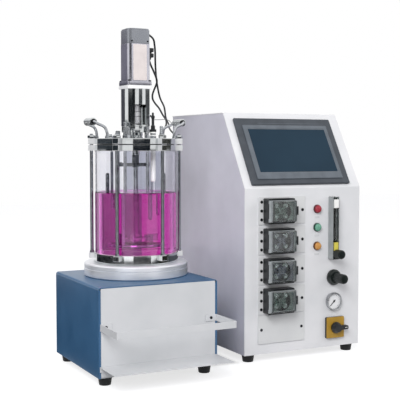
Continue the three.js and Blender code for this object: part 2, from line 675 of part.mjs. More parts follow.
function cultureLiquid() {
  const z0 = basePlateTop + gap;
  const z1 = z0 + liquid.depth;
  const radius = glass.radius - glass.wall - gap;
  const sweep = impeller.discRadius + impeller.bladeLength / 2 + liquid.sideRoom;
  const chamberBottom = basePlateTop + sparger.height - sparger.tubeRadius - gap;
  const chamberTop = basePlateTop + impeller.height + impeller.bladeHeight / 2 + liquid.roomAbove;
  const well = shaft.radius + 1;
  const body = turned([
    [0, z0], [radius, z0], [radius, z1], [well, z1], [well, chamberTop], [sweep, chamberTop],
    [sweep, chamberBottom], [0, chamberBottom],
  ], facets.vessel);
  const hole = ([x, y], r, bottom) => upright(r + gap, bottom - gap, z1 + 1, facets.screw).translate(x, y, 0);
  const holes = [
    hole(fittings.samplePort.at, headTube.radius, lidBottom - dipDepth.sampleTube),
    hole(fittings.thermowell.at, headTube.radius, lidBottom - dipDepth.thermowell),
    hole(fittings.airInlet.at, headTube.radius, chamberBottom + 1),
    hole(fittings.probePort.at, phProbe.bodyRadius, lidBottom - phProbe.bodyLength - phProbe.stemLength),
    ...heaterAngles.map((a) => hole(polar(heater.circle, a), heater.radius, z0 - 1)),
  ];
  return cut(body, ...holes);
}
place(vesselUnit, "culture_liquid", cultureLiquid(), culture);

// ---------------------------------------------------------------- control cabinet
const floorZ = foot.height;
const roof = floorZ + cabinet.height;
const brow = floorZ + cabinet.frontHeight; // where the upright front meets the slope
const slopeAngle = Math.atan2(cabinet.height - cabinet.frontHeight, cabinet.slopeDepth);
const slopeLength = Math.hypot(cabinet.height - cabinet.frontHeight, cabinet.slopeDepth);

// The side outline, moved in from its faces by t.
function sideOutline(t) {
  const browDrop = t * Math.tan((Math.PI / 2 - slopeAngle) / 2);
  const roofRun = t * Math.tan(slopeAngle / 2);
  return [
    [t, floorZ], [t, brow - browDrop], [cabinet.slopeDepth + roofRun, roof - t],
    [cabinet.depth - t, roof - t], [cabinet.depth - t, floorZ],
  ];
}

// A frame lying on the slope: x along the cabinet, z up the slope, and -y out of it.
const slope = new THREE.Group();
slope.position.set(0, 0, brow);
slope.rotation.x = slopeAngle - Math.PI / 2;
slope.updateMatrix();
controlUnit.add(slope);

const pumpHeights = Array.from({ length: pump.count }, (_, i) =>
  floorZ + pump.firstHeight + pump.pitch * (pump.count - 1 - i));
const pumpFront = -gap - pump.plateThickness - pump.bodyDepth;
const bodyX0 = pump.plateLeft + pump.bodyLeft;
const bodyX1 = bodyX0 + pump.bodyWidth;
const rotorX = (bodyX0 + bodyX1) / 2;

// Front and roof are one folded sheet that covers the edges of the sides and the back.
function cabinetFront() {
  const [a, b, c] = sideOutline(sheet);
  const outline = [
    [0, floorZ], [0, brow], [cabinet.slopeDepth, roof], [cabinet.depth, roof], [cabinet.depth, roof - sheet],
    c, b, a,
  ];
  const hole = (radius, x, z) => spigot(radius + gap, -5, sheet + 5, x, z);
  const screenHole = block(
    bezel.left + bezel.rearInset - gap, bezel.left + bezel.width - bezel.rearInset + gap, -5, sheet + 5,
    bezel.up + bezel.rearInset - gap, bezel.up + bezel.height - bezel.rearInset + gap,
  ).applyMatrix4(slope.matrix);
  const switchHalf = mainSwitch.bodySide / 2 + gap;
  const switchZ = floorZ + mainSwitch.height;
  return cut(
    extrudedX(outline, 0, cabinet.width),
    screenHole,
    ...pumpHeights.map((z) => hole(pump.motorRadius, rotorX, z)),
    ...lamp.heights.map((h) => hole(lamp.body, lamp.x, floorZ + h)),
    hole(regulator.stemRadius, regulator.x, floorZ + regulator.height),
    hole(gauge.canRadius, gauge.x, floorZ + gauge.height),
    block(mainSwitch.x - switchHalf, mainSwitch.x + switchHalf, -5, sheet + 5,
      switchZ - switchHalf, switchZ + switchHalf),
  );
}

// Both sides and the back are one sheet folded round the cabinet, with the cable glands on the back.
function cabinetWrap() {
  const side = (x0) => extrudedX(sideOutline(sheet + gap), x0, x0 + sheet);
  const back = block(sheet / 2, cabinet.width - sheet / 2, cabinet.depth - sheet - gap, cabinet.depth,
    floorZ, roof - sheet - gap);
  const glands = Object.values(rearGlands).map(({ x, z, radius, length }) =>
    spigot(radius, cabinet.depth - 1, cabinet.depth + length, x, z, facets.pin));
  return join(side(0), side(cabinet.width - sheet), back, ...glands);
}

function cabinetFloor() {
  const inner = sheet + gap;
  const plate = block(inner, cabinet.width - inner, inner, cabinet.depth - inner - gap,
    floorZ, floorZ + sheet);
  const feet = [foot.inset, cabinet.width - foot.inset].flatMap((x) =>
    [foot.inset, cabinet.depth - foot.inset].map((y) => rubberFoot(x, y)));
  return join(plate, ...feet);
}
place(controlUnit, "cabinet_front", cabinetFront(), whitePaint);
place(controlUnit, "cabinet_wrap", cabinetWrap(), greyPaint);
place(controlUnit, "cabinet_floor", cabinetFloor(), blackRubber);

// ---------------------------------------------------------------- touchscreen
const screenX = bezel.left + bezel.width / 2 + screen.aside;
const screenUp = bezel.up + bezel.height / 2;

// A block round the screen, wider than it by the given width on each side.
const roundScreen = (left, right, bottom, top, y0, y1) =>
  block(screenX - screen.width / 2 - left, screenX + screen.width / 2 + right, y0, y1,
    screenUp - screen.height / 2 - bottom, screenUp + screen.height / 2 + top);

function bezelShape() {
  const { width, height, left: x0, up: z0, thickness, step, rearInset: inset } = bezel;
  const faceY = -gap - thickness;
  const pocketDepth = screen.recess + screen.thickness + gap;
  return cut(
    join(
      block(x0, x0 + width, faceY, -gap, z0, z0 + height),
      roundScreen(bezel.stepLeft, bezel.stepRight, bezel.stepBottom, bezel.stepTop, faceY - step, faceY + 1),
      block(x0 + inset, x0 + width - inset, -gap - 1, bezel.rearDepth, z0 + inset, z0 + height - inset),
    ),
    roundScreen(gap, gap, gap, gap, faceY - step - 1, faceY - step + pocketDepth),
  );
}
function screenShape() {
  const y0 = -gap - bezel.thickness - bezel.step + screen.recess;
  return roundScreen(0, 0, 0, 0, y0, y0 + screen.thickness);
}
place(slope, "screen_bezel", bezelShape(), greyPlastic);
place(slope, "screen", screenShape(), darkScreen);

// ---------------------------------------------------------------- peristaltic pumps
const hingeX = bodyX0 + pump.hingeRadius;
const hingeY = pumpFront - gap - pump.hingeRadius;
const pocketDepth = pump.rotorDepth + pump.pocketFloor;

// Mounting plate with its screws, head with the rotor's track, hinge lugs and pin, latch, and motor behind.
function pumpBody() {
  const p = pump;
  const halfPlate = p.plateHeight / 2;
  const halfBody = p.bodyHeight / 2;
  const plateFront = -gap - p.plateThickness;
  const leftScrews = [-p.screwSpacing, 0, p.screwSpacing].map((z) => [p.screwInset, z]);
  const screwAt = [...leftScrews, [p.plateWidth - p.screwInset, 0]];
  const screws = screwAt.map(([x, z]) =>
    spigot(p.screwRadius, plateFront - p.screwProud, plateFront + 1, p.plateLeft + x, z, facets.screw));
  const hingeLug = (z0) => block(bodyX0, bodyX0 + 2 * p.hingeRadius, hingeY - p.hingeRadius, pumpFront + 1,
    z0, z0 + p.lugHeight);
  const latchX = bodyX1 + p.coverInset;
  return cut(
    join(
      block(p.plateLeft, p.plateLeft + p.plateWidth, plateFront, -gap, -halfPlate, halfPlate),
      block(bodyX0, bodyX1, pumpFront, -gap - 1, -halfBody, halfBody),
      hingeLug(-halfBody), hingeLug(halfBody - p.lugHeight),
      upright(p.hingePin, -halfBody + 1, halfBody - 1, facets.screw).translate(hingeX, hingeY, 0),
      block(latchX, latchX + p.latchWidth, pumpFront - p.latchProud, plateFront + 1,
        -p.latchHeight / 2, p.latchHeight / 2),
      spigot(p.motorRadius, -gap - 1, p.motorLength, rotorX, 0),
      ...screws,
    ),
    spigot(p.trackRadius, pumpFront - 1, pumpFront + pocketDepth, rotorX, 0),
    spigot(p.spindleRadius + gap, pumpFront, p.spindleReach + 1, rotorX, 0, facets.screw),
  );
}

// A hub with rollers between its disc and the front, on a spindle that runs back into the pump's motor.
function pumpRotor() {
  const p = pump;
  const back = pumpFront + pocketDepth - 1;
  const rollers = Array.from({ length: p.rollerCount }, (_, i) => {
    const [x, z] = polar(p.rollerCircle, 45 + (360 / p.rollerCount) * i);
    return spigot(p.rollerRadius, back - p.rotorDepth, back - 1, rotorX + x, z, facets.screw);
  });
  return join(
    spigot(p.rotorRadius, back - p.discThickness, back, rotorX, 0),
    spigot(p.hubRadius, back - p.rotorDepth, back - 1, rotorX, 0, facets.pin),
    spigot(p.spindleRadius, back - 1, p.spindleReach, rotorX, 0, facets.screw),
    ...rollers,
  );
}

// A clear lid over the rotor, hollow behind, with the barrel that turns on the hinge pin.
function pumpCover() {
  const p = pump;
  const half = p.bodyHeight / 2 - p.lugHeight - gap;
  const t = p.coverThickness;
  const y1 = pumpFront - gap;
  const y0 = y1 - p.coverDepth;
  const x0 = hingeX + p.coverInset;
  const x1 = bodyX1 - p.coverInset;
  const barrel = upright(p.hingeRadius, -half, half).translate(hingeX, hingeY, 0);
  return cut(
    join(block(x0, x1, y0, y1, -half, half), barrel),
    block(x0 + 2 * t, x1 - t, y0 + t, y1 + 1, -half + t, half - t),
    upright(p.hingePin + gap, -half - 1, half + 1, facets.screw).translate(hingeX, hingeY, 0),
  );
}
pumpHeights.forEach((z, i) => {
  place(controlUnit, `pump_body_${i + 1}`, pumpBody(), blackPlastic, [0, 0, z]);
  place(controlUnit, `pump_rotor_${i + 1}`, pumpRotor(), whitePaint, [0, 0, z]);
  place(controlUnit, `pump_cover_${i + 1}`, pumpCover(), clearGlass, [0, 0, z]);
});

function blankPlate() {
  const y0 = -gap - blank.thickness;
  const z0 = floorZ + blank.bottom;
  const screwZ = z0 + blank.height / 2;
  const screws = [blank.screwInset, blank.width - blank.screwInset].map((x) =>
    spigot(blank.screwRadius, y0 - blank.screwProud, y0 + 1, blank.left + x, screwZ, facets.screw));
  return join(block(blank.left, blank.left + blank.width, y0, -gap, z0, z0 + blank.height), ...screws);
}
place(controlUnit, "blank_plate", blankPlate(), whitePaint);

// ---------------------------------------------------------------- instruments
function pilotLamp() {
  const { lens, bezel: rim, protrude, body, bodyLength, rimHeight, step } = lamp;
  return turned([
    [0, -bodyLength], [body, -bodyLength], [body, gap], [rim, gap], [rim, rimHeight],
    [lens, rimHeight + step], [lens, protrude - lamp.domeHeight],
    [lens * lamp.crownShare, protrude - lamp.crownDrop], [0, protrude],
  ], facets.lens).rotateX(Math.PI / 2);
}
["red", "green", "amber"].forEach((colour, i) => {
  const lens = { red: redLens, green: greenLens, amber: amberLens }[colour];
  place(controlUnit, `lamp_${colour}`, pilotLamp(), lens, [lamp.x, 0, floorZ + lamp.heights[i]]);
});

const meterFront = -gap - flowMeter.depth;
const meterZ = floorZ + flowMeter.bottom;
const boreY = -gap - flowMeter.depth / 2;
function flowMeterBody() {
  const f = flowMeter;
  return cut(
    block(f.x - f.width / 2, f.x + f.width / 2, meterFront, -gap, meterZ, meterZ + f.height),
    upright(f.bore, meterZ + f.boreBottom, meterZ + f.height + 1).translate(f.x, boreY, 0),
    spigot(f.spindle + gap, meterFront - 1, meterFront + f.spindleDepth, f.x, meterZ + f.knobHeight,
      facets.screw),
  );
}
place(controlUnit, "flow_meter", flowMeterBody(), clearGlass);
place(controlUnit, "flow_meter_float",
  turned([
    [0, 0], [flowMeter.floatTip, 0], [flowMeter.floatRadius, flowMeter.floatCone],
    [flowMeter.floatRadius, flowMeter.floatHeight], [0, flowMeter.floatHeight],
  ], facets.pin), blackPlastic,
  [flowMeter.x, boreY, meterZ + flowMeter.boreBottom + gap]);
place(controlUnit, "flow_meter_knob", join(
  spigot(flowMeter.knobRadius, meterFront - gap - flowMeter.knobLength, meterFront - gap, 0, 0),
  spigot(flowMeter.spindle, meterFront - gap - 1, meterFront + flowMeter.spindleDepth - gap, 0, 0,
    facets.screw),
), blackPlastic, [flowMeter.x, 0, meterZ + flowMeter.knobHeight]);

const knobY = -gap - regulator.flangeDepth;
place(controlUnit, "regulator_knob", join(
  spigot(regulator.flangeRadius, knobY, -gap),
  spigot(regulator.knobRadius, knobY - regulator.knobDepth, knobY + 1),
  spigot(regulator.stemRadius, -gap - 1, regulator.stemLength, 0, 0, facets.pin),
), blackPlastic, [regulator.x, 0, floorZ + regulator.height]);

function gaugeBody() {
  const g = gauge;
  return turned([
    [g.pinRadius + gap, -g.canLength], [g.canRadius, -g.canLength], [g.canRadius, gap], [g.radius, gap],
    [g.radius, g.depth], [g.radius - g.rim, g.depth], [g.radius - g.rim, g.depth - g.recess],
    [g.pinRadius + gap, g.depth - g.recess], [g.pinRadius + gap, -g.canLength],
  ], facets.knob).rotateX(Math.PI / 2);
}
function gaugeNeedle() {
  const g = gauge;
  const y1 = -g.depth + g.recess - gap;
  const blade = block(-g.needleWidth / 2, g.needleWidth / 2, y1 - g.needleThickness, y1,
    -g.needleTail, g.needleLength);
  return join(
    blade.rotateY(THREE.MathUtils.degToRad(g.needleAngle)),
    spigot(g.bossRadius, y1 - g.needleThickness - g.bossProud, y1, 0, 0, facets.pin),
    spigot(g.pinRadius, y1 - g.needleThickness / 2, g.pinLength, 0, 0, facets.screw),
  );
}
const gaugePlace = [gauge.x, 0, floorZ + gauge.height];
place(controlUnit, "gauge_body", gaugeBody(), greyPlastic, gaugePlace);
place(controlUnit, "gauge_needle", gaugeNeedle(), blackPlastic, gaugePlace);

const switchPlace = [mainSwitch.x, 0, floorZ + mainSwitch.height];
const switchFront = -gap - mainSwitch.thickness;
function switchPlate() {
  const s = mainSwitch;
  const half = s.side / 2;
  const bodyHalf = s.bodySide / 2;
  return cut(
    join(
      block(-half, half, switchFront, -gap, -half, half),
      block(-bodyHalf, bodyHalf, -gap - 1, s.bodyLength, -bodyHalf, bodyHalf),
    ),
    spigot(s.stemRadius + gap, switchFront - 1, s.stemLength + 1, 0, 0, facets.pin),
  );
}
function switchKnob() {
  const s = mainSwitch;
  const y1 = switchFront - gap;
  return join(
    spigot(s.knobRadius, y1 - s.knobDepth, y1),
    block(-s.knobRadius / 2, s.leverLength, y1 - s.leverDepth, y1 - 1, -s.leverWidth / 2, s.leverWidth / 2),
    spigot(s.stemRadius, y1 - 1, s.stemLength, 0, 0, facets.pin),
  );
}
place(controlUnit, "switch_plate", switchPlate(), yellowPlastic, switchPlace);
place(controlUnit, "switch_knob", switchKnob(), blackPlastic, switchPlace);

// ---------------------------------------------------------------- cables
// Each hangs from the drive, passes behind the vessel and enters a gland on the cabinet's back.
const glandEnd = ({ x, z, length }) =>
  [cabinet.left + x, -cabinet.front + cabinet.depth + length + gap, z];
const backward = ([x, y, z], by) => [x, y + by, z];
const capSide = motor.capSide / 2 + cable.glandLength + gap;
const motorStart = motorGlandBottom - gap;

const capRoute = [
  [capSide, 0, capExitZ], [capSide + 3, 0, capExitZ], [capSide + 11, 3, capExitZ - 6], [57, 16, 751],
  [70, 42, 713], [90, 80, 678],
  [119, 125, 639], [149, 165, 617], [177, 215, 590], [200, 250, 577], [226, 296, 563], [246, 316, 552],
  backward(glandEnd(rearGlands.cap), cable.straight), glandEnd(rearGlands.cap),
];
const motorRoute = [
  [connectorX, 0, motorStart], [connectorX, 0, motorStart - 3], [44, 5, 702], [58, 20, 688], [70, 33, 671],
  [70, 45, 656], [69, 56, 643], [73, 66, 632], [86, 82, 622], [108, 105, 610], [130, 132, 595],
  [152, 160, 583], [163, 183, 572], [168, 206, 560], [178, 232, 545], [202, 266, 528], [230, 300, 518],
  [248, 314, 512], backward(glandEnd(rearGlands.motor), cable.straight), glandEnd(rearGlands.motor),
];
const tubeSide = driveTube.radius + thinWire.glandLength + gap;
const sensorRoute = [
  [tubeSide, 0, sensorZ], [tubeSide + 3, 0, sensorZ], [66, 50, 581], [119, 150, 583], [167, 225, 586],
  [208, 280, 588], [234, 306, 582],
  backward(glandEnd(rearGlands.sensor), thinWire.straight), glandEnd(rearGlands.sensor),
];
place(bench, "encoder_cable", wire(capRoute, cable.radius, facets.screw, 28), blackPlastic);
place(bench, "motor_cable", wire(motorRoute, cable.radius, facets.screw, 32), blackPlastic);
place(bench, "sensor_cable", wire(sensorRoute, thinWire.radius, facets.screw, 20), greyPlastic);

// ---------------------------------------------------------------- origin
// Under the middle of the object, on the surface it stands on.
const cables = new Set(["encoder_cable", "motor_cable", "sensor_cable"]);
const extent = new THREE.Box3();
bench.updateMatrixWorld(true);
bench.traverse((piece) => {
  if (piece.isMesh && !cables.has(piece.name)) extent.expandByObject(piece, true);
});
const middle = extent.getCenter(new THREE.Vector3());
bench.position.set(-middle.x, -middle.y, -extent.min.z);

export default bench;
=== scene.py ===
import math
from types import SimpleNamespace

import bmesh
import bpy
from mathutils import Matrix, Vector


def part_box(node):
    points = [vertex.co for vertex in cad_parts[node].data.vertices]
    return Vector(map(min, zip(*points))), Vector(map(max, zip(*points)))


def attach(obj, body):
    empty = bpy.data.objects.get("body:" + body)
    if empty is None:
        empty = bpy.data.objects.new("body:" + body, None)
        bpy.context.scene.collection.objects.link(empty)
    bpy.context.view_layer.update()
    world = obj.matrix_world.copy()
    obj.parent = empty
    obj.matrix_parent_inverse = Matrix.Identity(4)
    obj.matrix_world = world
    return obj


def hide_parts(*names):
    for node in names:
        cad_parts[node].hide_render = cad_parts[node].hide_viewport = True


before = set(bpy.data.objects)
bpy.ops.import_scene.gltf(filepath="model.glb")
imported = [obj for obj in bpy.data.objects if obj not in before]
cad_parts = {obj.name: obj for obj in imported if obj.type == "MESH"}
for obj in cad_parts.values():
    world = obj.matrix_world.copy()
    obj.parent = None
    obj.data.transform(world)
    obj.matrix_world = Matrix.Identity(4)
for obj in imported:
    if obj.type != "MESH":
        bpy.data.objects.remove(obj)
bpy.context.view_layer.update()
print("frame loaded:", len(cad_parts), "nodes")

mm = 0.001
stirrerAxis = (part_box("glass_jar")[0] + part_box("glass_jar")[1]) / 2
stirrerAxis.z = 0
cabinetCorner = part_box("cabinet_front")[0].copy()
cabinetCorner.z = 0

# camera
camera = {"place": (-1.0247, -1.978, 0.51124), "turn": 26.80, "down": 3.283, "lens": 81.6, "film": 36}
cameraData = bpy.data.cameras.new("camera")
cameraData.lens = camera["lens"]
cameraData.sensor_width = camera["film"]
cameraObject = bpy.data.objects.new("camera", cameraData)
cameraObject.location = camera["place"]
cameraObject.rotation_euler = (math.radians(90 - camera["down"]), 0, math.radians(-camera["turn"]))
bpy.context.scene.collection.objects.link(cameraObject)
bpy.context.scene.camera = cameraObject
bpy.context.scene.view_settings.view_transform = "Standard"


# material tools
def linear(colour):
    # sRGB hex to the linear values that shaders use
    parts = [int(colour[i:i + 2], 16) / 255 for i in (1, 3, 5)]
    return [p / 12.92 if p <= 0.04045 else ((p + 0.055) / 1.055) ** 2.4 for p in parts] + [1]


def addNode(tree, kind, settings=None, values=None):
    made = tree.nodes.new(kind)
    for name, value in (settings or {}).items():
        setattr(made, name, value)
    for socket, value in (values or {}).items():
        if isinstance(value, bpy.types.NodeSocket):
            tree.links.new(value, made.inputs[socket])
        else:
            made.inputs[socket].default_value = value
    return made


def newMaterial(name, constants):
    # a Principled shader with its constants, and the object's own coordinates in metres
    material = bpy.data.materials.new(name)
    material.use_nodes = True
    tree = material.node_tree
    tree.nodes.clear()
    shader = addNode(tree, "ShaderNodeBsdfPrincipled", None, constants)
    addNode(tree, "ShaderNodeOutputMaterial", None, {"Surface": shader.outputs[0]})
    where = addNode(tree, "ShaderNodeTexCoord").outputs["Object"]
    return material, tree, shader, where


def perMetre(size):
    return 1000 / size  # pattern scale for a feature of that many millimetres


def mottle(tree, shader, where, dark, light, size, detail=3, spread=(0.35, 0.65)):
    # slow drift of colour between two hex values, in patches of about that many millimetres
    noise = addNode(tree, "ShaderNodeTexNoise", None, {"Vector": where, "Scale": perMetre(size),
                                                       "Detail": detail})
    ramp = addNode(tree, "ShaderNodeValToRGB", None, {"Fac": noise.outputs["Fac"]})
    for stop, place, colour in zip(ramp.color_ramp.elements, spread, (dark, light)):
        stop.position = place
        stop.color = linear(colour)
    tree.links.new(ramp.outputs["Color"], shader.inputs["Base Color"])
    return noise


def varyRoughness(tree, shader, source, low, high):
    ranged = addNode(tree, "ShaderNodeMapRange", None,
                     {"Value": source, "From Min": 0.3, "From Max": 0.7, "To Min": low, "To Max": high})
    tree.links.new(ranged.outputs["Result"], shader.inputs["Roughness"])


def addBump(tree, shader, height, depth, strength=0.5):
    bump = addNode(tree, "ShaderNodeBump", None, {"Height": height, "Distance": depth * mm,
                                                  "Strength": strength})
    tree.links.new(bump.outputs["Normal"], shader.inputs["Normal"])


# Powder coat: polyester powder baked on folded steel; a soft sheen over a fine orange peel.
def powderCoat(name, finish):
    material, tree, shader, where = newMaterial(name, {"IOR": 1.5, "Specular IOR Level": 0.5})
    patches = mottle(tree, shader, where, finish["dark"], finish["light"], 90)
    varyRoughness(tree, shader, patches.outputs["Fac"], finish["rough"] - 0.03, finish["rough"] + 0.03)
    # real peel is about 1 mm across: drawn at 2.4 mm, so that it shows
    peel = addNode(tree, "ShaderNodeTexNoise", None, {"Vector": where, "Scale": perMetre(2.4), "Detail": 2})
    addBump(tree, shader, peel.outputs["Fac"], finish["peel"])
    return material


# Moulded thermoplastic (ABS, nylon or polycarbonate): even colour, eroded-tool grain, soft highlights.
def mouldedPlastic(name, finish):
    material, tree, shader, where = newMaterial(name, {"IOR": 1.49,
                                                       "Specular IOR Level": finish.get("gloss", 0.5)})
    patches = mottle(tree, shader, where, finish["dark"], finish["light"], finish.get("patch", 25))
    varyRoughness(tree, shader, patches.outputs["Fac"], finish["rough"] - 0.05, finish["rough"] + 0.05)
    # real grain is about 0.2 mm across: drawn at 1.2 mm or more, so that it shows
    grain = addNode(tree, "ShaderNodeTexVoronoi", None, {"Vector": where,
                                                         "Scale": perMetre(finish.get("grain", 1.2))})
    addBump(tree, shader, grain.outputs["Distance"], finish.get("depth", 0.04))
    return material


# Worked metal: the tool's lines run round or along the piece, and fingermarks dull it in patches.
def workedMetal(name, finish):
    material, tree, shader, where = newMaterial(name, {"Metallic": finish.get("metallic", 1)})
    smears = mottle(tree, shader, where, finish["dark"], finish["light"], finish.get("patch", 40))
    varyRoughness(tree, shader, smears.outputs["Fac"], finish["rough"] * 0.8, finish["rough"] * 1.25)
    stretched = addNode(tree, "ShaderNodeMapping", None, {"Vector": where, "Scale": finish["lines"]})
    lines = addNode(tree, "ShaderNodeTexNoise", None, {"Vector": stretched.outputs["Vector"], "Scale": 1,
                                                       "Detail": 2})
    addBump(tree, shader, lines.outputs["Fac"], finish["depth"], 0.4)
    return material


# Clear moulded parts: cast acrylic and coloured lens plastic, polished faces with slight waviness.
def clearPlastic(name, finish):
    material, tree, shader, where = newMaterial(name, {"IOR": finish.get("ior", 1.49),
                                                       "Transmission Weight": finish["clear"],
                                                       "Roughness": finish["rough"]})
    mottle(tree, shader, where, finish["dark"], finish["light"], finish.get("patch", 15))
    waves = addNode(tree, "ShaderNodeTexNoise", None, {"Vector": where, "Scale": perMetre(9), "Detail": 1})
    addBump(tree, shader, waves.outputs["Fac"], finish.get("depth", 0.05), 0.3)
    return material


fine = perMetre(1.6)  # tool lines: 0.2 mm apart in the metal, drawn at 1.6 mm so that they show
slow = perMetre(120)
# powder coats on the sheet metal: flat colour with a soft sheen
bluePowder = powderCoat("blue_powder_coat", {
    "dark": "#315a80", "light": "#3a648b", "rough": 0.34, "peel": 0.05})
whitePowder = powderCoat("white_powder_coat", {
    "dark": "#dcdde0", "light": "#e4e4e7", "rough": 0.42, "peel": 0.05})
panelPowder = powderCoat("pearl_grey_powder_coat", {
    "dark": "#c6c8cb", "light": "#cecfd2", "rough": 0.4, "peel": 0.05})
greyPowder = powderCoat("lavender_grey_powder_coat", {
    "dark": "#c9c8d4", "light": "#d1d0dc", "rough": 0.38, "peel": 0.04})
# polished stainless: a clear mirror of the pale room and its dark sides; ground rod draws it out softer
mirrorSteel = workedMetal("polished_stainless_steel", {
    "dark": "#ced1d2", "light": "#dcdfe0", "rough": 0.07, "lines": (slow, slow, fine), "depth": 0.0012})
rodSteel = workedMetal("ground_stainless_rod", {"dark": "#b9bcc0", "light": "#c9ccd0", "rough": 0.14,
                                                "lines": (slow, slow, fine), "depth": 0.002, "patch": 12})
# bead-blasted stainless for the ears that are welded to the plates and for the heater sheath in the broth:
# pale and without a mirror shine, its paleness partly painted light for their bright reflections
blastedLitSteel = workedMetal("blasted_stainless_painted_light", {"dark": "#f0f1f3", "light": "#f8f9fa", "rough": 0.4,
                                                 "metallic": 0.6, "lines": (fine, fine, fine),
                                                 "depth": 0.004})
# stainless bar for the tie rods, drawn and left dull: a softer, darker shine than the polished plates
tieSteel = workedMetal("dull_tie_rod_steel", {"dark": "#989ba1", "light": "#a7aab0", "rough": 0.2,
                                              "lines": (slow, slow, fine), "depth": 0.002, "patch": 12})
# dark, half-matt stainless
darkSteel = workedMetal("dark_half_matt_stainless", {"dark": "#5d6064", "light": "#74777b", "rough": 0.3,
                                                   "lines": (fine, fine, fine), "depth": 0.01, "patch": 8})
# aluminium, turned or milled: pale satin with fine rings or straight lines
turnedAluminium = workedMetal("turned_anodised_aluminium",
                              {"dark": "#ecedf2", "light": "#f3f4f8", "rough": 0.34, "metallic": 0.62,
                               "lines": (slow, slow, fine), "depth": 0.02})
milledAluminium = workedMetal("milled_aluminium", {"dark": "#f4f4f6", "light": "#fdfdfe", "rough": 0.4,
                                                   "metallic": 0.15, "lines": (fine, slow, slow),
                                                   "depth": 0.02})
# blackened screws: dark with a grey glint
blackScrew = workedMetal("blackened_screw_steel", {"dark": "#2b2d30", "light": "#3a3c40", "rough": 0.4,
                                                   "lines": (fine, fine, fine), "depth": 0.02, "patch": 4})
# thin enamel on the motor's aluminium: a grey skin that keeps a metal's sheen
motorEnamel = workedMetal("motor_enamel_on_aluminium",
                          {"dark": "#bdbcc6", "light": "#c9c8d2", "rough": 0.13, "metallic": 0.97,
                           "lines": (slow, slow, slow), "depth": 0.004})
# rubber and nylon: near black, so that mostly their edges catch the light
blackRubber = mouldedPlastic("black_foot_rubber", {
    "dark": "#0f1012", "light": "#17181a", "rough": 0.5, "grain": 2, "gloss": 0.3})
blackPlastic = mouldedPlastic("black_nylon", {"dark": "#1a1c1e", "light": "#232528", "rough": 0.38})
knobPlastic = mouldedPlastic("dark_green_black_nylon", {
    "dark": "#0f1615", "light": "#171f1e", "rough": 0.36})
# ABS of the display's surround: anthracite, and a lighter copy of it for the raised lip and the line above
# it: painted light
bezelPlastic = mouldedPlastic("anthracite_abs", {"dark": "#3b4047", "light": "#444950", "rough": 0.46})
litBezelPlastic = mouldedPlastic("lit_anthracite_abs", {"dark": "#596068", "light": "#646b73", "rough": 0.42})
capEnamel = workedMetal("grey_enamel_on_cast_cap", {"dark": "#94979e", "light": "#9fa2a9", "rough": 0.25,
                                                    "metallic": 0.95, "lines": (slow, slow, slow),
                                                    "depth": 0.004})
# acetal and polycarbonate: white and waxy, or a dull ochre yellow
whitePlastic = mouldedPlastic("white_acetal", {"dark": "#f0f0ee", "light": "#fafaf8", "rough": 0.3})
yellowPlastic = mouldedPlastic("yellow_polycarbonate", {
    "dark": "#a6812a", "light": "#b48d31", "rough": 0.42})
# label film, dial card and ink: matt and even
labelFilm = mouldedPlastic("blank_polyester_label", {
    "dark": "#d6cdcc", "light": "#dfd6d4", "rough": 0.5, "depth": 0.01})
dialCard = mouldedPlastic("printed_dial_card", {
    "dark": "#e2e3e5", "light": "#ececee", "rough": 0.6, "depth": 0.01})
inkBlack = mouldedPlastic("black_printing_ink", {
    "dark": "#18191b", "light": "#222326", "rough": 0.6, "depth": 0.01})
# silicone seals: soft, matt, without a clear highlight
silicone = mouldedPlastic("white_silicone", {"dark": "#dcdcd8", "light": "#e8e8e4", "rough": 0.5})
darkSilicone = mouldedPlastic("dark_grey_silicone", {"dark": "#2c2f33", "light": "#383b40", "rough": 0.5})
# acetal rollers, pale and a little shiny, and the dull PVC of the cables
rollerPlastic = mouldedPlastic("pale_roller_acetal", {
    "dark": "#8f9c99", "light": "#a5b1ad", "rough": 0.3, "patch": 6})
sheath = mouldedPlastic("black_pvc_sheath", {
    "dark": "#1b1e20", "light": "#26292b", "rough": 0.4, "patch": 10})
thinSheath = mouldedPlastic("grey_pvc_sheath", {
    "dark": "#6b6f72", "light": "#7c8083", "rough": 0.45, "patch": 10})
# cover glass over an unlit display: blue-black with a faint shine
screenGlass = mouldedPlastic("dark_display_glass", {
    "dark": "#1b2f3e", "light": "#203646", "rough": 0.16, "gloss": 0.15, "patch": 200, "depth": 0.004})
# acrylic: clear, and a pale frosted copy on edge and side faces, partly sawn frosting and partly painted
# light: the covers' edge highlights and the light seen through the meter's sides; lenses glow in their own
# tint
clearAcrylic = clearPlastic("clear_acrylic", {
    "dark": "#e8edec", "light": "#f4f8f7", "rough": 0.03, "clear": 1})
redLens = clearPlastic("red_lens", {"dark": "#b0303f", "light": "#cc4a58", "rough": 0.25, "clear": 0.35})
greenLens = clearPlastic("green_lens", {
    "dark": "#66ac92", "light": "#8fceb4", "rough": 0.25, "clear": 0.35})
frostedLitAcrylic = clearPlastic("frosted_acrylic_painted_light", {
    "dark": "#b0b6b8", "light": "#c0c5c7", "rough": 0.4, "clear": 0.35})
amberLens = clearPlastic("amber_lens", {
    "dark": "#e09848", "light": "#f5b86c", "rough": 0.25, "clear": 0.35})
# Borosilicate glass: drawn tube; nearly colourless, with faint draw lines along it.
vesselGlass = clearPlastic("borosilicate_glass", {"dark": "#f1f1f6", "light": "#f8f8fb", "rough": 0.0,
                                                  "clear": 1, "ior": 1.47, "patch": 60, "depth": 0.01})
# Culture medium: clear magenta broth with phenol dye; it darkens in depth and lets the parts inside show.
broth = {"surface": "#f0c4ec", "surfaceDark": "#ebbde6", "depth": "#ec37d8", "density": 16}
cultureBroth = clearPlastic("culture_broth", {"dark": broth["surfaceDark"], "light": broth["surface"],
                                              "rough": 0.0, "clear": 1, "ior": 1.33, "patch": 50,
                                              "depth": 0})
tree = cultureBroth.node_tree
soaked = addNode(tree, "ShaderNodeVolumeAbsorption", None,
                 {"Color": linear(broth["depth"]), "Density": broth["density"]})
tree.links.new(soaked.outputs[0], tree.nodes["Material Output"].inputs["Volume"])
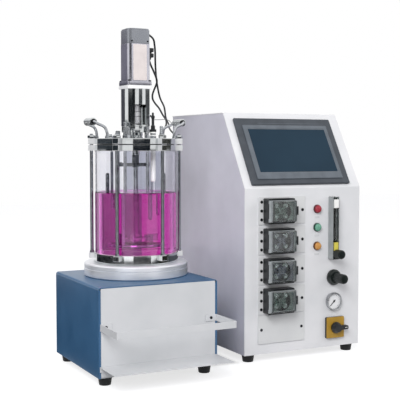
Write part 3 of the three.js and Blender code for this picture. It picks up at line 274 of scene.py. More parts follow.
# pumps and instruments: satin plate, tinted nylon rotors and tracks, lamp collars, gauge rim
platePowder = powderCoat("satin_grey_plate_coat", {
    "dark": "#d0d1d3", "light": "#d8d9da", "rough": 0.45, "peel": 0.03})
rotorGreen = mouldedPlastic("green_grey_rotor_nylon", {
    "dark": "#3b4d47", "light": "#4d625a", "rough": 0.35, "patch": 8})
rotorBlue = mouldedPlastic("blue_grey_rotor_nylon", {
    "dark": "#3c414d", "light": "#4f5462", "rough": 0.35, "patch": 8})
trackGreen = mouldedPlastic("green_grey_track_plastic", {
    "dark": "#4c5855", "light": "#5c6965", "rough": 0.4, "patch": 12})
trackGrey = mouldedPlastic("blue_grey_track_plastic", {
    "dark": "#474a53", "light": "#575a63", "rough": 0.4, "patch": 12})
redCollar = mouldedPlastic("dark_red_collar", {"dark": "#4a1019", "light": "#5c1620", "rough": 0.35})
greenCollar = mouldedPlastic("dark_green_collar", {"dark": "#10352c", "light": "#174537", "rough": 0.35})
amberCollar = mouldedPlastic("dark_amber_collar", {"dark": "#55310f", "light": "#6a3f14", "rough": 0.35})
labelGrey = mouldedPlastic("blank_label_plate", {
    "dark": "#cfd0d3", "light": "#d6d7d9", "rough": 0.5, "depth": 0.01})
yellowFitting = mouldedPlastic("yellow_fitting_plastic", {
    "dark": "#cbbb3e", "light": "#ddd05c", "rough": 0.4})
gaugeRimSteel = workedMetal("dulled_gauge_steel", {"dark": "#a6a8ab", "light": "#b4b6b9", "rough": 0.3,
                                                   "lines": (slow, fine, slow), "depth": 0.01, "patch": 20})
print("materials made:", len(bpy.data.materials))


# shapes: each is a bmesh in millimetres
def slab(x0, x1, y0, y1, z0, z1):
    form = bmesh.new()
    bmesh.ops.create_cube(form, size=1)
    for vert in form.verts:
        x, y, z = vert.co
        vert.co = (x0 if x < 0 else x1, y0 if y < 0 else y1, z0 if z < 0 else z1)
    return form


def prism(outline, low, high, axis="z"):
    # an outline pushed along one axis; its own two numbers are the other axes in order
    def spot(a, b, h):
        return {"z": (a, b, h), "y": (a, h, b), "x": (h, a, b)}[axis]
    form = bmesh.new()
    rings = [[form.verts.new(spot(a, b, h)) for a, b in outline] for h in (low, high)]
    for ring in rings:
        form.faces.new(ring)
    for i in range(len(outline)):
        j = (i + 1) % len(outline)
        form.faces.new((rings[0][i], rings[0][j], rings[1][j], rings[1][i]))
    bmesh.ops.recalc_face_normals(form, faces=form.faces)
    return form


def spun(profile, segments=64):
    # a body of revolution about Z: its profile starts and ends on the axis, or closes on itself
    form = bmesh.new()
    closed = profile[0] == profile[-1]
    rings = []
    for radius, height in (profile[:-1] if closed else profile):
        count = segments if radius > 1e-6 else 1
        turns = [2 * math.pi * i / count for i in range(count)]
        rings.append([form.verts.new((radius * math.cos(t), radius * math.sin(t), height)) for t in turns])
    pairs = list(zip(rings, rings[1:])) + ([(rings[-1], rings[0])] if closed else [])
    for lower, upper in pairs:
        for i in range(segments):
            corners = dict.fromkeys(
                ring[k % len(ring)] for ring, k in ((lower, i), (lower, i + 1), (upper, i + 1), (upper, i)))
            if len(corners) > 2:
                form.faces.new(list(corners))
    bmesh.ops.recalc_face_normals(form, faces=form.faces)
    return form


def turnedRing(profile, segments=64):
    return spun(profile + profile[:1], segments)  # a body with a bore: its profile closes on itself


def lifted(height, profile):
    return [(radius, height + up) for radius, up in profile]


def moved(form, x=0, y=0, z=0):
    bmesh.ops.translate(form, verts=form.verts, vec=(x, y, z))
    return form


def rotated(form, degrees, axis="Z"):
    bmesh.ops.transform(form, verts=form.verts, matrix=Matrix.Rotation(math.radians(degrees), 4, axis))
    return form


def facing(form):
    return rotated(form, 90, "X")  # what stood up along Z now points out of the cabinet's front


def pin(radius, low, high, segments=32):
    return spun([(0, low), (radius, low), (radius, high), (0, high)], segments)


def pipe(outer, inner, low, high, segments=96):
    return turnedRing([(inner, low), (outer, low), (outer, high), (inner, high)], segments)


def ringOf(radius, thickness, height, segments=96, sides=16):
    turns = [2 * math.pi * i / sides for i in range(sides)]
    return turnedRing([(radius + thickness * math.cos(t), height + thickness * math.sin(t)) for t in turns],
                      segments)


def polygon(sides, radius, turn=0):
    turns = [math.radians(turn) + 2 * math.pi * i / sides for i in range(sides)]
    return [(radius * math.cos(t), radius * math.sin(t)) for t in turns]


def hexagon(radius, low, high, turn=0):
    return prism(polygon(6, radius, turn), low, high)


def arcPoints(x, y, radius, start, end, steps=6):
    turns = [math.radians(start + (end - start) * i / steps) for i in range(steps + 1)]
    return [(x + radius * math.cos(t), y + radius * math.sin(t)) for t in turns]


def roundedOutline(x0, x1, y0, y1, radius, steps=6):
    r = radius
    return (arcPoints(x1 - r, y1 - r, r, 0, 90, steps) + arcPoints(x0 + r, y1 - r, r, 90, 180, steps)
            + arcPoints(x0 + r, y0 + r, r, 180, 270, steps) + arcPoints(x1 - r, y0 + r, r, 270, 360, steps))


def squareOutline(half, radius):
    return roundedOutline(-half, half, -half, half, radius)


def socketScrew(radius, height, socket=0.45):
    # round head with a round socket, standing on z = 0
    return spun([(0, 0), (radius, 0), (radius, height * 0.7), (radius * 0.85, height),
                 (radius * socket, height), (radius * socket, height * 0.35), (0, height * 0.35)], 24)


def panScrew(radius, height):
    # domed head with a cross recess
    dome = spun([(0, 0), (radius, 0), (radius * 0.92, height * 0.5), (radius * 0.6, height * 0.9),
                 (0, height)], 24)
    arm, wide = radius * 0.55, radius * 0.14
    return carved(dome, slab(-arm, arm, -wide, wide, height * 0.45, height * 2),
                  slab(-wide, wide, -arm, arm, height * 0.45, height * 2))


def threaded(radius, low, high, pitch=1.5, depth=0.35):
    count = max(1, round((high - low) / pitch))
    step = (high - low) / count
    rings = [(0, low)]
    for i in range(count):
        rings += [(radius - depth, low + step * i), (radius, low + step * (i + 0.5))]
    return spun(rings + [(radius - depth, high), (0, high)], 32)


def knurled(radius, low, high, ridges, depth):
    # a grip with upright ridges
    outline = []
    for i in range(ridges):
        for share, r in ((0, radius), (0.25, radius), (0.5, radius - depth), (0.75, radius - depth)):
            turn = 2 * math.pi * (i + share) / ridges
            outline.append((r * math.cos(turn), r * math.sin(turn)))
    return prism(outline, low, high)


def smoothLine(points, count):
    # evenly spread points on the centripetal curve through these points
    knots = [Vector(p) for p in points]
    ends = [2 * knots[0] - knots[1]] + knots + [2 * knots[-1] - knots[-2]]
    dense = []
    for a, b, c, d in zip(ends, ends[1:], ends[2:], ends[3:]):
        t0, t1, t2 = ((q - p).length ** 0.5 for p, q in ((a, b), (b, c), (c, d)))
        out = ((b - a) / t0 - (c - a) / (t0 + t1) + (c - b) / t1) * t1
        into = ((c - b) / t1 - (d - b) / (t1 + t2) + (d - c) / t2) * t1
        for i in range(40):
            t = i / 40
            dense.append(b + out * t + (3 * (c - b) - 2 * out - into) * t ** 2
                         + (2 * (b - c) + out + into) * t ** 3)
    dense.append(knots[-1])
    runs = [0]
    for p, q in zip(dense, dense[1:]):
        runs.append(runs[-1] + (q - p).length)
    spread, k = [], 0
    for i in range(count):
        goal = runs[-1] * i / (count - 1)
        while k < len(runs) - 2 and runs[k + 1] < goal:
            k += 1
        share = (goal - runs[k]) / max(runs[k + 1] - runs[k], 1e-9)
        spread.append(dense[k].lerp(dense[k + 1], share))
    return spread, runs[-1]


def swept(points, radius, count=48, sides=16):
    # round wire along a smooth line, with rounded ends
    line, length = smoothLine(points, count)
    form = bmesh.new()
    normal = Vector((0, 0, 1))
    rings = []
    for i, point in enumerate(line):
        along = (line[min(i + 1, count - 1)] - line[max(i - 1, 0)]).normalized()
        normal = (normal - along * normal.dot(along))
        normal = normal.normalized() if normal.length > 1e-4 else along.orthogonal().normalized()
        side = along.cross(normal)
        rings.append([form.verts.new(point + radius * (normal * math.cos(t) + side * math.sin(t)))
                      for t in (2 * math.pi * k / sides for k in range(sides))])
    for lower, upper in zip(rings, rings[1:]):
        for k in range(sides):
            form.faces.new((lower[k], lower[(k + 1) % sides], upper[(k + 1) % sides], upper[k]))
    form.faces.new(rings[0][::-1])
    form.faces.new(rings[-1])
    bmesh.ops.recalc_face_normals(form, faces=form.faces)
    return form


def asObject(form):
    mesh = bpy.data.meshes.new("shape")
    form.to_mesh(mesh)
    form.free()
    made = bpy.data.objects.new("shape", mesh)
    bpy.context.scene.collection.objects.link(made)
    return made


def carved(form, *cutters):
    body = asObject(form)
    tools = [asObject(cutter) for cutter in cutters]
    for tool in tools:
        cut = body.modifiers.new("cut", "BOOLEAN")
        cut.operation, cut.solver, cut.object = "DIFFERENCE", "EXACT", tool
    bpy.context.view_layer.update()
    result = bmesh.new()
    result.from_mesh(body.evaluated_get(bpy.context.evaluated_depsgraph_get()).data)
    for used in (body, *tools):
        mesh = used.data
        bpy.data.objects.remove(used)
        bpy.data.meshes.remove(mesh)
    return result


def eased(form, width, segments=2, sharper=32):
    # breaks the sharp edges, as filing or a mould radius does
    if width > 0:
        edges = [e for e in form.edges if len(e.link_faces) == 2
                 and e.calc_face_angle(0) > math.radians(sharper)]
        bmesh.ops.bevel(form, geom=edges, offset=width, offset_type="OFFSET", segments=segments,
                        profile=0.5, affect="EDGES", clamp_overlap=True)
    return form


def copies(form, count, first=0):
    # the same shape, set round the Z axis
    made = [rotated(form.copy(), first + 360 * i / count) for i in range(count)]
    form.free()
    return made


def piece(name, body, finish, slot, forms, place=(0, 0, 0), replaces=(), edge=0.35):
    # joins shapes into one object: a shape may come with its own material's number
    finishes = finish if isinstance(finish, (list, tuple)) else [finish]
    joined = bmesh.new()
    for form in forms:
        form, number, sides = (*form, None)[:3] if isinstance(form, tuple) else (form, 0, None)
        eased(form, edge)
        for face in form.faces:
            # faces that don't look out of the front
            across = sides is not None and abs(face.normal.y) < 0.5
            face.material_index = sides if across else number
            face.smooth = True
        part = bpy.data.meshes.new("part")
        form.to_mesh(part)
        form.free()
        joined.from_mesh(part)
        bpy.data.meshes.remove(part)
    bmesh.ops.scale(joined, verts=joined.verts, vec=(mm, mm, mm))
    mesh = bpy.data.meshes.new(name)
    joined.to_mesh(mesh)
    joined.free()
    mesh.set_sharp_from_angle(angle=math.radians(23))
    for material in finishes:
        mesh.materials.append(material)
    made = bpy.data.objects.new(name, mesh)
    bpy.context.scene.collection.objects.link(made)
    made.location = Vector(place)
    weighted = made.modifiers.new("normals", "WEIGHTED_NORMAL")
    weighted.keep_sharp = True
    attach(made, body)
    made.visible_shadow = slot not in ("glass", "culture")  # the lamps shine into the jar
    if replaces:
        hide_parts(*replaces)
    return made


def inVessel(x=0, y=0, z=0):
    return stirrerAxis + Vector((x, y, z)) * mm


def inCabinet(x=0, y=0, z=0):
    return cabinetCorner + Vector((x, y, z)) * mm


# cables: from the drive, behind the vessel, into the glands on the cabinet's back
cables = {
    "encoder": {
        "radius": 2.3, "node": "encoder_cable", "finish": sheath, "slot": "cable_sheath", "points": 30,
        "route": [(35, 0, 776.2), (38, 0, 776.2), (46, 3, 770.2), (57, 16, 751), (70, 42, 713),
                  (90, 80, 678), (119, 125, 639), (149, 165, 617), (177, 215, 590), (200, 250, 577),
                  (226, 296, 563), (246, 316, 552), (266, 301.3, 530), (266, 285.3, 530)]},
    "motor": {
        "radius": 2.3, "node": "motor_cable", "finish": sheath, "slot": "cable_sheath", "points": 38,
        "route": [(35.5, 0, 716.4), (35.5, 0, 713.4), (44, 5, 702), (58, 20, 688), (70, 33, 671),
                  (70, 45, 656), (69, 56, 643), (73, 66, 632), (86, 82, 622), (108, 105, 610),
                  (130, 132, 595), (152, 160, 583), (163, 183, 572), (168, 206, 560), (178, 232, 545),
                  (202, 266, 528), (230, 300, 518), (248, 314, 512), (266, 301.3, 487), (266, 285.3, 487)]},
    "sensor": {
        "radius": 0.9, "node": "sensor_cable", "finish": thinSheath, "slot": "thin_sheath", "points": 26,
        "route": [(40.3, 0, 586.6), (43.3, 0, 586.6), (66, 50, 581), (119, 150, 583), (167, 225, 586),
                  (208, 280, 588), (234, 306, 582), (250, 299.3, 560), (250, 285.3, 560)]},
}
for name, cable in cables.items():
    line, length = smoothLine(cable["route"], cable["points"])
    curve = bpy.data.curves.new(name + "_lead", "CURVE")
    curve.dimensions = "3D"
    curve.bevel_depth = cable["radius"] * mm
    curve.bevel_resolution = 3
    curve.resolution_u = 4
    curve.use_fill_caps = True
    spline = curve.splines.new("BEZIER")
    spline.bezier_points.add(len(line) - 1)
    for knot, point in zip(spline.bezier_points, line):
        knot.co = inVessel(*point)
        knot.handle_left_type = knot.handle_right_type = "AUTO"
    curve.materials.append(cable["finish"])
    lead = bpy.data.objects.new(name + "_lead", curve)
    bpy.context.scene.collection.objects.link(lead)
    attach(lead, "frame")
    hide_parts(cable["node"])
print("cables laid")


# stage: white surroundings, soft lamps, and cards that only polished or clear pieces show
stage = {"ambient": 0.55, "floor": "#b0b0b2", "floorGlow": 0.72, "floorRough": 0.95,
         "lamps": {"key": {"place": (-1.9, -2.4, 2.05), "size": (1.6, 1.6), "power": 86},
                   "fill": {"place": (2.6, -1.6, 1.5), "size": (1.4, 1.8), "power": 16},
                   "top": {"place": (0.1, 0.4, 3.0), "size": (2.2, 2.2), "power": 4}},
         "aim": (0, -0.05, 0.35), "floorHalf": 6, "cardRadius": 1.75, "viewTurn": 247.2, "cardStep": 4,
         "benchShade": "#1c2026", "benchLift": 0.004}
# upright cards: lowest and highest in metres, start and end in degrees to the right of the camera, shade
cards = {
    "plate_left": (0.005, 0.085, -131, -118, "#2f343a"), "lid_left": (0.49, 0.575, -131, -118, "#444a50"),
    "plate_band": (0.033, 0.085, -118, -32, "#23272c"), "plate_low": (0.012, 0.05, -118, 40, "#1c2024"),
    "rods_left": (0.09, 0.32, -118, -38, "#1c2026"), "inside_left": (0.32, 0.49, -88, -38, "#1c2026"),
    "lid_side": (0.49, 0.575, -118, -38, "#444a50"), "lid_front": (0.49, 0.575, -7, 40, "#2b3038"),
    "plate_front": (0.051, 0.085, -7, 40, "#1d2125"),
    "rods_front": (0.09, 0.32, -7, 30, "#20242a"), "inside_front": (0.32, 0.49, -7, 40, "#20242a"),
    "rods_right": (0.005, 0.32, 62, 150, "#34352f"), "inside_right": (0.32, 0.49, 40, 88, "#3a3a33"),
    "lid_right": (0.49, 0.575, 70, 150, "#3c3d38"),
    "flange_left": (0.575, 0.602, -150, -8, "#202329"),
    "tube_edge": (0.602, 0.78, -150, -90, "#55565e"), "tube_left": (0.602, 0.78, -58, -2, "#2c3033"),
    "tube_front": (0.602, 0.78, 27, 56, "#5c6063"), "tube_right": (0.602, 0.78, 86, 150, "#5c5e60"),
    "motor_left": (0.78, 1.05, -150, -112, "#908f9a"), "motor_front": (0.78, 1.05, -24, 20, "#16181c"),
}
# cards that lie on the bench: corners in metres; the one between base and cabinet, which diffuse light also
# meets, is painted shade of the bench in the gap between them
benchCards = {
    "behind_base": [(-1.5, -0.5), (-0.372, -0.5), (-0.372, 1.7), (-1.5, 1.7)],
    "beside_base": [(-0.37, 0.13), (0.02, 0.13), (0.02, 1.7), (-0.37, 1.7)],
    # painted shade of the bench in the gap between base and cabinet
    "between": [(-0.068, -0.12), (0.02, -0.12), (0.02, 0.128), (-0.068, 0.128)],
    "before_cabinet": [(0.3, -1.9), (1.35, -1.9), (1.35, -0.45), (0.3, -0.45)],
}
# the card between jar and cabinet, for what they would mirror of each other's shaded sides
sideCard = {"x": -0.03, "front": -0.12, "back": 0.3, "low": 0.02, "high": 0.25, "shade": "#64686c"}
# cards a way behind the jar, which only clear pieces show: left and right of the axis in metres, shade
greyCards = {"behind_jar": (-0.045, 0.115, "#c3c6d1"), "aside_of_jar": (0.135, 0.6, "#ebebee")}
greyPlace = {"away": 0.9, "low": 0.15, "high": 0.51}


def directRays(tree):
    # 1 for what the camera sees by itself, in a shiny surface or through a clear one
    rays = addNode(tree, "ShaderNodeLightPath")
    direct = rays.outputs["Is Camera Ray"]
    for kind in ("Is Glossy Ray", "Is Transmission Ray"):
        either = addNode(tree, "ShaderNodeMath", {"operation": "MAXIMUM"},
                         {0: direct, 1: rays.outputs[kind]})
        direct = either.outputs[0]
    return direct


world = bpy.data.worlds.new("surroundings")
bpy.context.scene.world = world
world.use_nodes = True
tree = world.node_tree
tree.nodes.clear()
strength = addNode(tree, "ShaderNodeMapRange", None,
                   {"Value": directRays(tree), "To Min": stage["ambient"], "To Max": 1.0})
sky = addNode(tree, "ShaderNodeBackground", None, {"Color": (1, 1, 1, 1), "Strength": strength.outputs[0]})
addNode(tree, "ShaderNodeOutputWorld", None, {"Surface": sky.outputs[0]})

# the bench top: white lacquer, pale enough to meet the backdrop, that still takes the shadow
material, tree, shader, where = newMaterial("white_bench_lacquer", {"Roughness": stage["floorRough"],
                                                                   "Specular IOR Level": 0.1})
mottle(tree, shader, where, stage["floor"], stage["floor"], 400)
glow = addNode(tree, "ShaderNodeMapRange", None,
               {"Value": directRays(tree), "To Min": 0.0, "To Max": stage["floorGlow"]})
shader.inputs["Emission Color"].default_value = (1, 1, 1, 1)
tree.links.new(glow.outputs[0], shader.inputs["Emission Strength"])
floorMesh = bpy.data.meshes.new("bench_top")
reach = stage["floorHalf"]
floorMesh.from_pydata([(x * reach, y * reach, 0) for x, y in ((-1, -1), (1, -1), (1, 1), (-1, 1))], [],
                      [(0, 1, 2, 3)])
floorMesh.materials.append(material)
floor = bpy.data.objects.new("bench_top", floorMesh)
bpy.context.scene.collection.objects.link(floor)

for name, lamp in stage["lamps"].items():
    light = bpy.data.lights.new(name, "AREA")
    light.shape, light.size, light.size_y, light.energy = "RECTANGLE", *lamp["size"], lamp["power"]
    holder = bpy.data.objects.new(name + "_lamp", light)
    holder.location = lamp["place"]
    beam = Vector(stage["aim"]) - Vector(lamp["place"])
    holder.rotation_euler = beam.to_track_quat("-Z", "Y").to_euler()
    holder.visible_glossy = False
    bpy.context.scene.collection.objects.link(holder)


def card(name, corners, faces, shade, onlyThrough=False, shades=False):
    # a matt paper card that only polished surfaces and glass see
    mesh = bpy.data.meshes.new(name)
    mesh.from_pydata(corners, [], faces)
    paper, tree, shader, where = newMaterial(name + "_card", {"Roughness": 1.0, "Specular IOR Level": 0.0})
    mottle(tree, shader, where, shade, shade, 300)
    mesh.materials.append(paper)
    made = bpy.data.objects.new(name, mesh)
    made.visible_camera = False
    made.visible_diffuse = made.visible_shadow = shades
    made.visible_glossy = not onlyThrough
    made.visible_transmission = onlyThrough or name.startswith("inside")
    bpy.context.scene.collection.objects.link(made)


for name, (low, high, start, end, shade) in cards.items():
    steps = max(2, round((end - start) / stage["cardStep"]))
    corners, faces = [], []
    for i in range(steps + 1):
        turn = math.radians(stage["viewTurn"] + start + (end - start) * i / steps)
        x, y = (stirrerAxis[k] + stage["cardRadius"] * f(turn) for k, f in ((0, math.cos), (1, math.sin)))
        corners += [(x, y, low), (x, y, high)]
    for i in range(steps):
        faces.append((2 * i, 2 * i + 2, 2 * i + 3, 2 * i + 1))
    card(name, corners, faces, shade)
for name, outline in benchCards.items():
    card(name, [(x, y, stage["benchLift"]) for x, y in outline], [(0, 1, 2, 3)], stage["benchShade"],
         shades=name == "between")
card("beside_jar", [(sideCard["x"], y, z) for z in (sideCard["low"], sideCard["high"])
                    for y in (sideCard["front"], sideCard["back"])], [(0, 1, 3, 2)], sideCard["shade"])
turn = math.radians(stage["viewTurn"])
away = Vector((-math.cos(turn), -math.sin(turn), 0))
aside = Vector((-math.sin(turn), math.cos(turn), 0))
middle = stirrerAxis + away * greyPlace["away"]
for name, (left, right, shade) in greyCards.items():
    ends = [middle + aside * left, middle + aside * right]
    card(name, [(end.x, end.y, z) for z in (greyPlace["low"], greyPlace["high"]) for end in ends],
         [(0, 1, 3, 2)], shade, True)
print("stage made")


# heating base: blue folded cover, pearl panels, shelf and bottle rail
base = {"left": -157, "right": 128, "front": -168, "rear": 123, "floor": 18.5, "top": 214.5, "sheet": 2,
        "fold": 6, "lip": 5, "slack": 0.3, "footInset": 22, "footTop": 15.5, "footBottom": 12.5,
        "shelfTop": 44.5, "shelfDepth": 86, "shelfFlange": 12, "shelfGap": 2, "railLow": 121.5,
        "railHigh": 136.5, "railDepth": 98, "railGap": 3, "railSheet": 2, "railTab": 27, "railBend": 3,
        "trayDepth": 12, "ringRadius": 121.5, "ringBore": 70, "ringLow": 214.8, "ringHigh": 246.3,
        "ringWaist": 233.8, "screwAside": 14, "screwUp": 12}
b = SimpleNamespace(**base)


def coverLine(inset):
    # over the top from foot to foot, moved in
    high, bend = b.top - b.fold, b.fold - inset
    return ([(b.left + inset, b.floor)] + arcPoints(b.left + b.fold, high, bend, 180, 90, 8)
            + arcPoints(b.right - b.fold, high, bend, 90, 0, 8) + [(b.right - inset, b.floor)])


def foldedCover():
    forms = [prism(coverLine(0) + coverLine(b.sheet)[::-1], b.front, b.rear, "y")]
    for y in (b.front, b.rear - b.sheet):  # the edges turned in, front and rear, at the sides
        for x in (b.left + 1, b.right - b.lip):
            forms.append(slab(x, x + b.lip - 1, y, y + b.sheet, b.floor, b.top - b.fold))
    return forms


def trayPanel(y, inward):
    # a panel with its four edges folded back, as sheet-metal covers are
    x0, x1 = b.left + b.lip + b.slack, b.right - b.lip - b.slack
    z0, z1 = b.floor + b.sheet + b.slack, b.top - b.sheet - b.slack
    face = sorted((y, y + inward * b.sheet))
    flange = sorted((y + inward * 1.5, y + inward * b.trayDepth))
    return [prism(roundedOutline(x0, x1, z0, z1, 2), *face, "y"),
            slab(x0 + 1, x0 + 3, *flange, z0 + 2, z1 - 2), slab(x1 - 3, x1 - 1, *flange, z0 + 2, z1 - 2),
            slab(x0 + 3, x1 - 3, *flange, z0 + 1, z0 + 3), slab(x0 + 3, x1 - 3, *flange, z1 - 3, z1 - 1)]


def rubberFoot():
    h, wide, narrow = b.floor, b.footTop, b.footBottom
    return spun([(0, 3), (4, 3), (4, 0.6), (narrow - 1.5, 0.6), (narrow - 1, 0), (narrow, 0),
                 (narrow + 0.6, 1.5), (wide - 0.4, h - 4), (wide, h - 2.5), (wide, h), (0, h)], 48)


def footedFloor(x0, x1, y0, y1):
    # rubber feet on the bottom plate: number 0 is the plate's paint and number 1 the rubber
    inset = b.footInset - b.sheet - b.slack
    forms = [prism(roundedOutline(x0, x1, y0, y1, 2), b.floor, b.floor + b.sheet)]
    for x in (x0 + inset, x1 - inset):
        for y in (y0 + inset, y1 - inset):
            forms.append((moved(rubberFoot(), x, y), 1))
    return forms


def bottleRail():
    x0, x1 = b.left + b.railGap, b.right - b.railGap
    back = b.front - b.slack
    front, t, r = back - b.railDepth, b.railSheet, b.railBend
    line = ([(x0 + b.railTab, back), (x0, back)] + arcPoints(x0 + r, front + r, r, 180, 270)
            + arcPoints(x1 - r, front + r, r, 270, 360)
            + [(x1, back), (x1 - b.railTab, back), (x1 - b.railTab, back - t), (x1 - t, back - t)]
            + arcPoints(x1 - r, front + r, r - t, 360, 270) + arcPoints(x0 + r, front + r, r - t, 270, 180)
            + [(x0 + t, back - t), (x0 + b.railTab, back - t)])
    forms = [prism(line, b.railLow, b.railHigh)]
    middle = (b.railLow + b.railHigh) / 2
    for x in (x0 + b.railTab / 2, x1 - b.railTab / 2):
        forms.append((moved(facing(panScrew(3.5, 1.6)), x, back - t, middle), 1))
    return forms


piece("base_cover_folded", "frame", bluePowder, "blue_paint", foldedCover(), stirrerAxis, ["base_cover"],
      0.4)
piece("front_panel_tray", "frame", panelPowder, "white_paint", trayPanel(b.front, 1), stirrerAxis,
      ["base_front_panel"], 0.5)
rearPanel = trayPanel(b.rear, -1)
for x in (b.left + b.screwAside, b.right - b.screwAside):
    for z in (b.floor + b.screwUp, b.top - b.screwUp):
        screw = rotated(facing(panScrew(3, 1.2)), 180)
        rearPanel.append((moved(screw, x, b.rear - 0.1, z), 1))
piece("rear_panel_tray", "frame", [panelPowder, blackScrew], "white_paint", rearPanel, stirrerAxis,
      ["base_rear_panel"], 0.4)
inner = b.sheet + b.slack
piece("base_floor_and_feet", "frame", [panelPowder, blackRubber], "black_rubber",
      footedFloor(b.left + inner, b.right - inner, b.front + inner, b.rear - inner),
      stirrerAxis, ["base_floor"], 0.4)
shelfFront, shelfBack = b.front - b.slack - b.shelfDepth, b.front - b.slack
shelfLeft, shelfRight = b.left + b.shelfGap, b.right - b.shelfGap
piece("bottle_shelf", "frame", panelPowder, "white_paint", [
    prism([(shelfFront, b.shelfTop - 2), (shelfFront, b.shelfTop), (shelfBack, b.shelfTop),
           (shelfBack, b.shelfTop - b.shelfFlange), (shelfBack - 2, b.shelfTop - b.shelfFlange),
           (shelfBack - 2, b.shelfTop - 2)], shelfLeft, shelfRight, "x")],
      stirrerAxis, ["shelf_plate"], 0.45)
piece("bottle_rail_strip", "frame", [panelPowder, blackScrew], "white_paint", bottleRail(), stirrerAxis,
      ["bottle_rail"], 0.35)
wide = b.ringRadius
ring = turnedRing(lifted(b.ringLow, [(b.ringBore, 0), (wide - 2, 0), (wide, 2)])
                  + lifted(b.ringWaist, [(wide, -1.2), (wide - 1.5, -0.4), (wide - 1.5, 0.4), (wide, 1.2)])
                  + lifted(b.ringHigh, [(wide, -4), (wide - 1.2, -1.2), (wide - 4, 0), (b.ringBore + 1, 0),
                                        (b.ringBore, -1)]), 160)
piece("turned_support_ring", "frame", turnedAluminium, "satin_aluminium", [ring], stirrerAxis,
      ["support_ring"], 0.3)
print("heating base made")


# vessel: plate, tie rods, glass, clamp ring and lid
vessel = {"plateLow": 246.6, "plateHigh": 267.6, "plateRadius": 99, "glass": 96, "wall": 5,
          "glassLow": 267.8, "glassHigh": 504.8, "clampLow": 505.1, "clampHigh": 518.1, "lidLow": 520.3,
          "lidHigh": 533.3, "clampBore": 82, "lugTurn": 43.2, "lugs": 6, "boltCircle": 103, "lugWidth": 15,
          "lugHeight": 12, "rod": 4, "nut": 9, "nutHeight": 7, "heater": 4.5, "heaterCircle": 66,
          "heaterTop": 452.6, "heaterTurns": (-20, 160), "liquidTop": 407.9, "seat": 2, "gasket": 1.6,
          "sealWidth": 8, "lidBore": 15.3, "lugRoot": 78}
v = SimpleNamespace(**vessel)


def withLugs(plate, low, high, washers=False):
    # six square ears on the plate's rim carry the tie rods; they are the pale blasted steel, painted light
    # for their bright reflections, with polished ends
    half, reach = v.lugWidth / 2, v.boltCircle + v.lugWidth / 2
    ear = roundedOutline(v.lugRoot, reach, -half, half, 1.2, 3)
    forms = [plate] + [(lug, 1) for lug in copies(prism(ear, low, high), v.lugs, v.lugTurn)]
    polishedEnd = slab(reach - 0.3, reach + 0.04, 0.6 - half, half - 0.6, low + 0.6, high - 0.6)
    forms += copies(polishedEnd, v.lugs, v.lugTurn)
    if washers:
        washer = pipe(v.rod + 3.4, v.rod + 0.3, high, high + 0.25, 32)
        forms += copies(moved(washer, v.boltCircle), v.lugs, v.lugTurn)
    return forms


inside = v.glass - v.wall
basePlate = spun([(0, v.plateLow), (v.plateRadius, v.plateLow)] + lifted(v.plateHigh, [
    (v.plateRadius, 0), (v.glass + 0.3, 0), (v.glass + 0.3, -v.seat), (inside - 1, -v.seat),
    (inside - 1, 0), (0, 0)]), 160)
piece("vessel_plate", "frame", [mirrorSteel, blastedLitSteel], "polished_steel",
      withLugs(basePlate, v.plateHigh - v.lugHeight, v.plateHigh), stirrerAxis,
      ["vessel_base_plate"], 0.35)
rods, nuts = [], []
nutTop = v.lidHigh + v.nutHeight
collar = turnedRing(lifted(nutTop, [(4.1, 0), (v.nut * 0.84, 0), (v.nut * 0.7, 1.2), (4.1, 1.2)]), 32)
for i in range(v.lugs):
    turn = math.radians(v.lugTurn + 360 / v.lugs * i)
    x, y = v.boltCircle * math.cos(turn), v.boltCircle * math.sin(turn)
    rods += [moved(pin(v.rod, v.plateHigh - 6, v.lidHigh - 4, 24), x, y),
             moved(threaded(v.rod, v.lidHigh - 4, nutTop + 4, 1.25), x, y),
             moved(pin(v.rod + 1.6, v.plateHigh + 0.3, v.plateHigh + 5, 6), x, y)]
    nuts += [moved(hexagon(v.nut, v.lidHigh + 0.5, nutTop, 15 + 17 * i), x, y),  # no two stop alike
             moved(collar.copy(), x, y)]
piece("tie_rods", "frame", tieSteel, "polished_steel", rods, stirrerAxis, edge=0.15)
piece("tie_rod_nuts", "frame", mirrorSteel, "polished_steel", nuts, stirrerAxis, edge=0.6)
# heater rods: the sheath is the pale blasted steel, painted light, up to the broth's top, and the dark
# steel above
wide = v.heater
lowSheath = spun(lifted(v.plateHigh, [(0, -1), (wide + 2.5, -1), (wide + 2.5, 4), (wide, 5)])
                 + lifted(v.liquidTop, [(wide, -1), (0, -1)]), 32)
highSheath = spun(lifted(v.liquidTop, [(0, -1), (wide, -1)])
                  + lifted(v.heaterTop, [(wide, -3), (wide - 1, -0.8), (wide - 2.4, 0), (0, 0)]), 32)
heaters = []
for turn in v.heaterTurns:
    x, y = (v.heaterCircle * f(math.radians(turn)) for f in (math.cos, math.sin))
    heaters += [(moved(lowSheath.copy(), x, y), 1), moved(highSheath.copy(), x, y)]
piece("heater_rods", "frame", [darkSteel, blastedLitSteel], "polished_steel", heaters, stirrerAxis, edge=0)


def flatSeal(inner, outer, low, bulge):
    # a flat ring of rubber, pressed out a little at its two rims
    high = low + v.gasket
    middle = (low + high) / 2
    return turnedRing([(inner, low), (outer, low), (outer + bulge[1], middle), (outer, high), (inner, high),
                       (inner - bulge[0], middle)], 128)


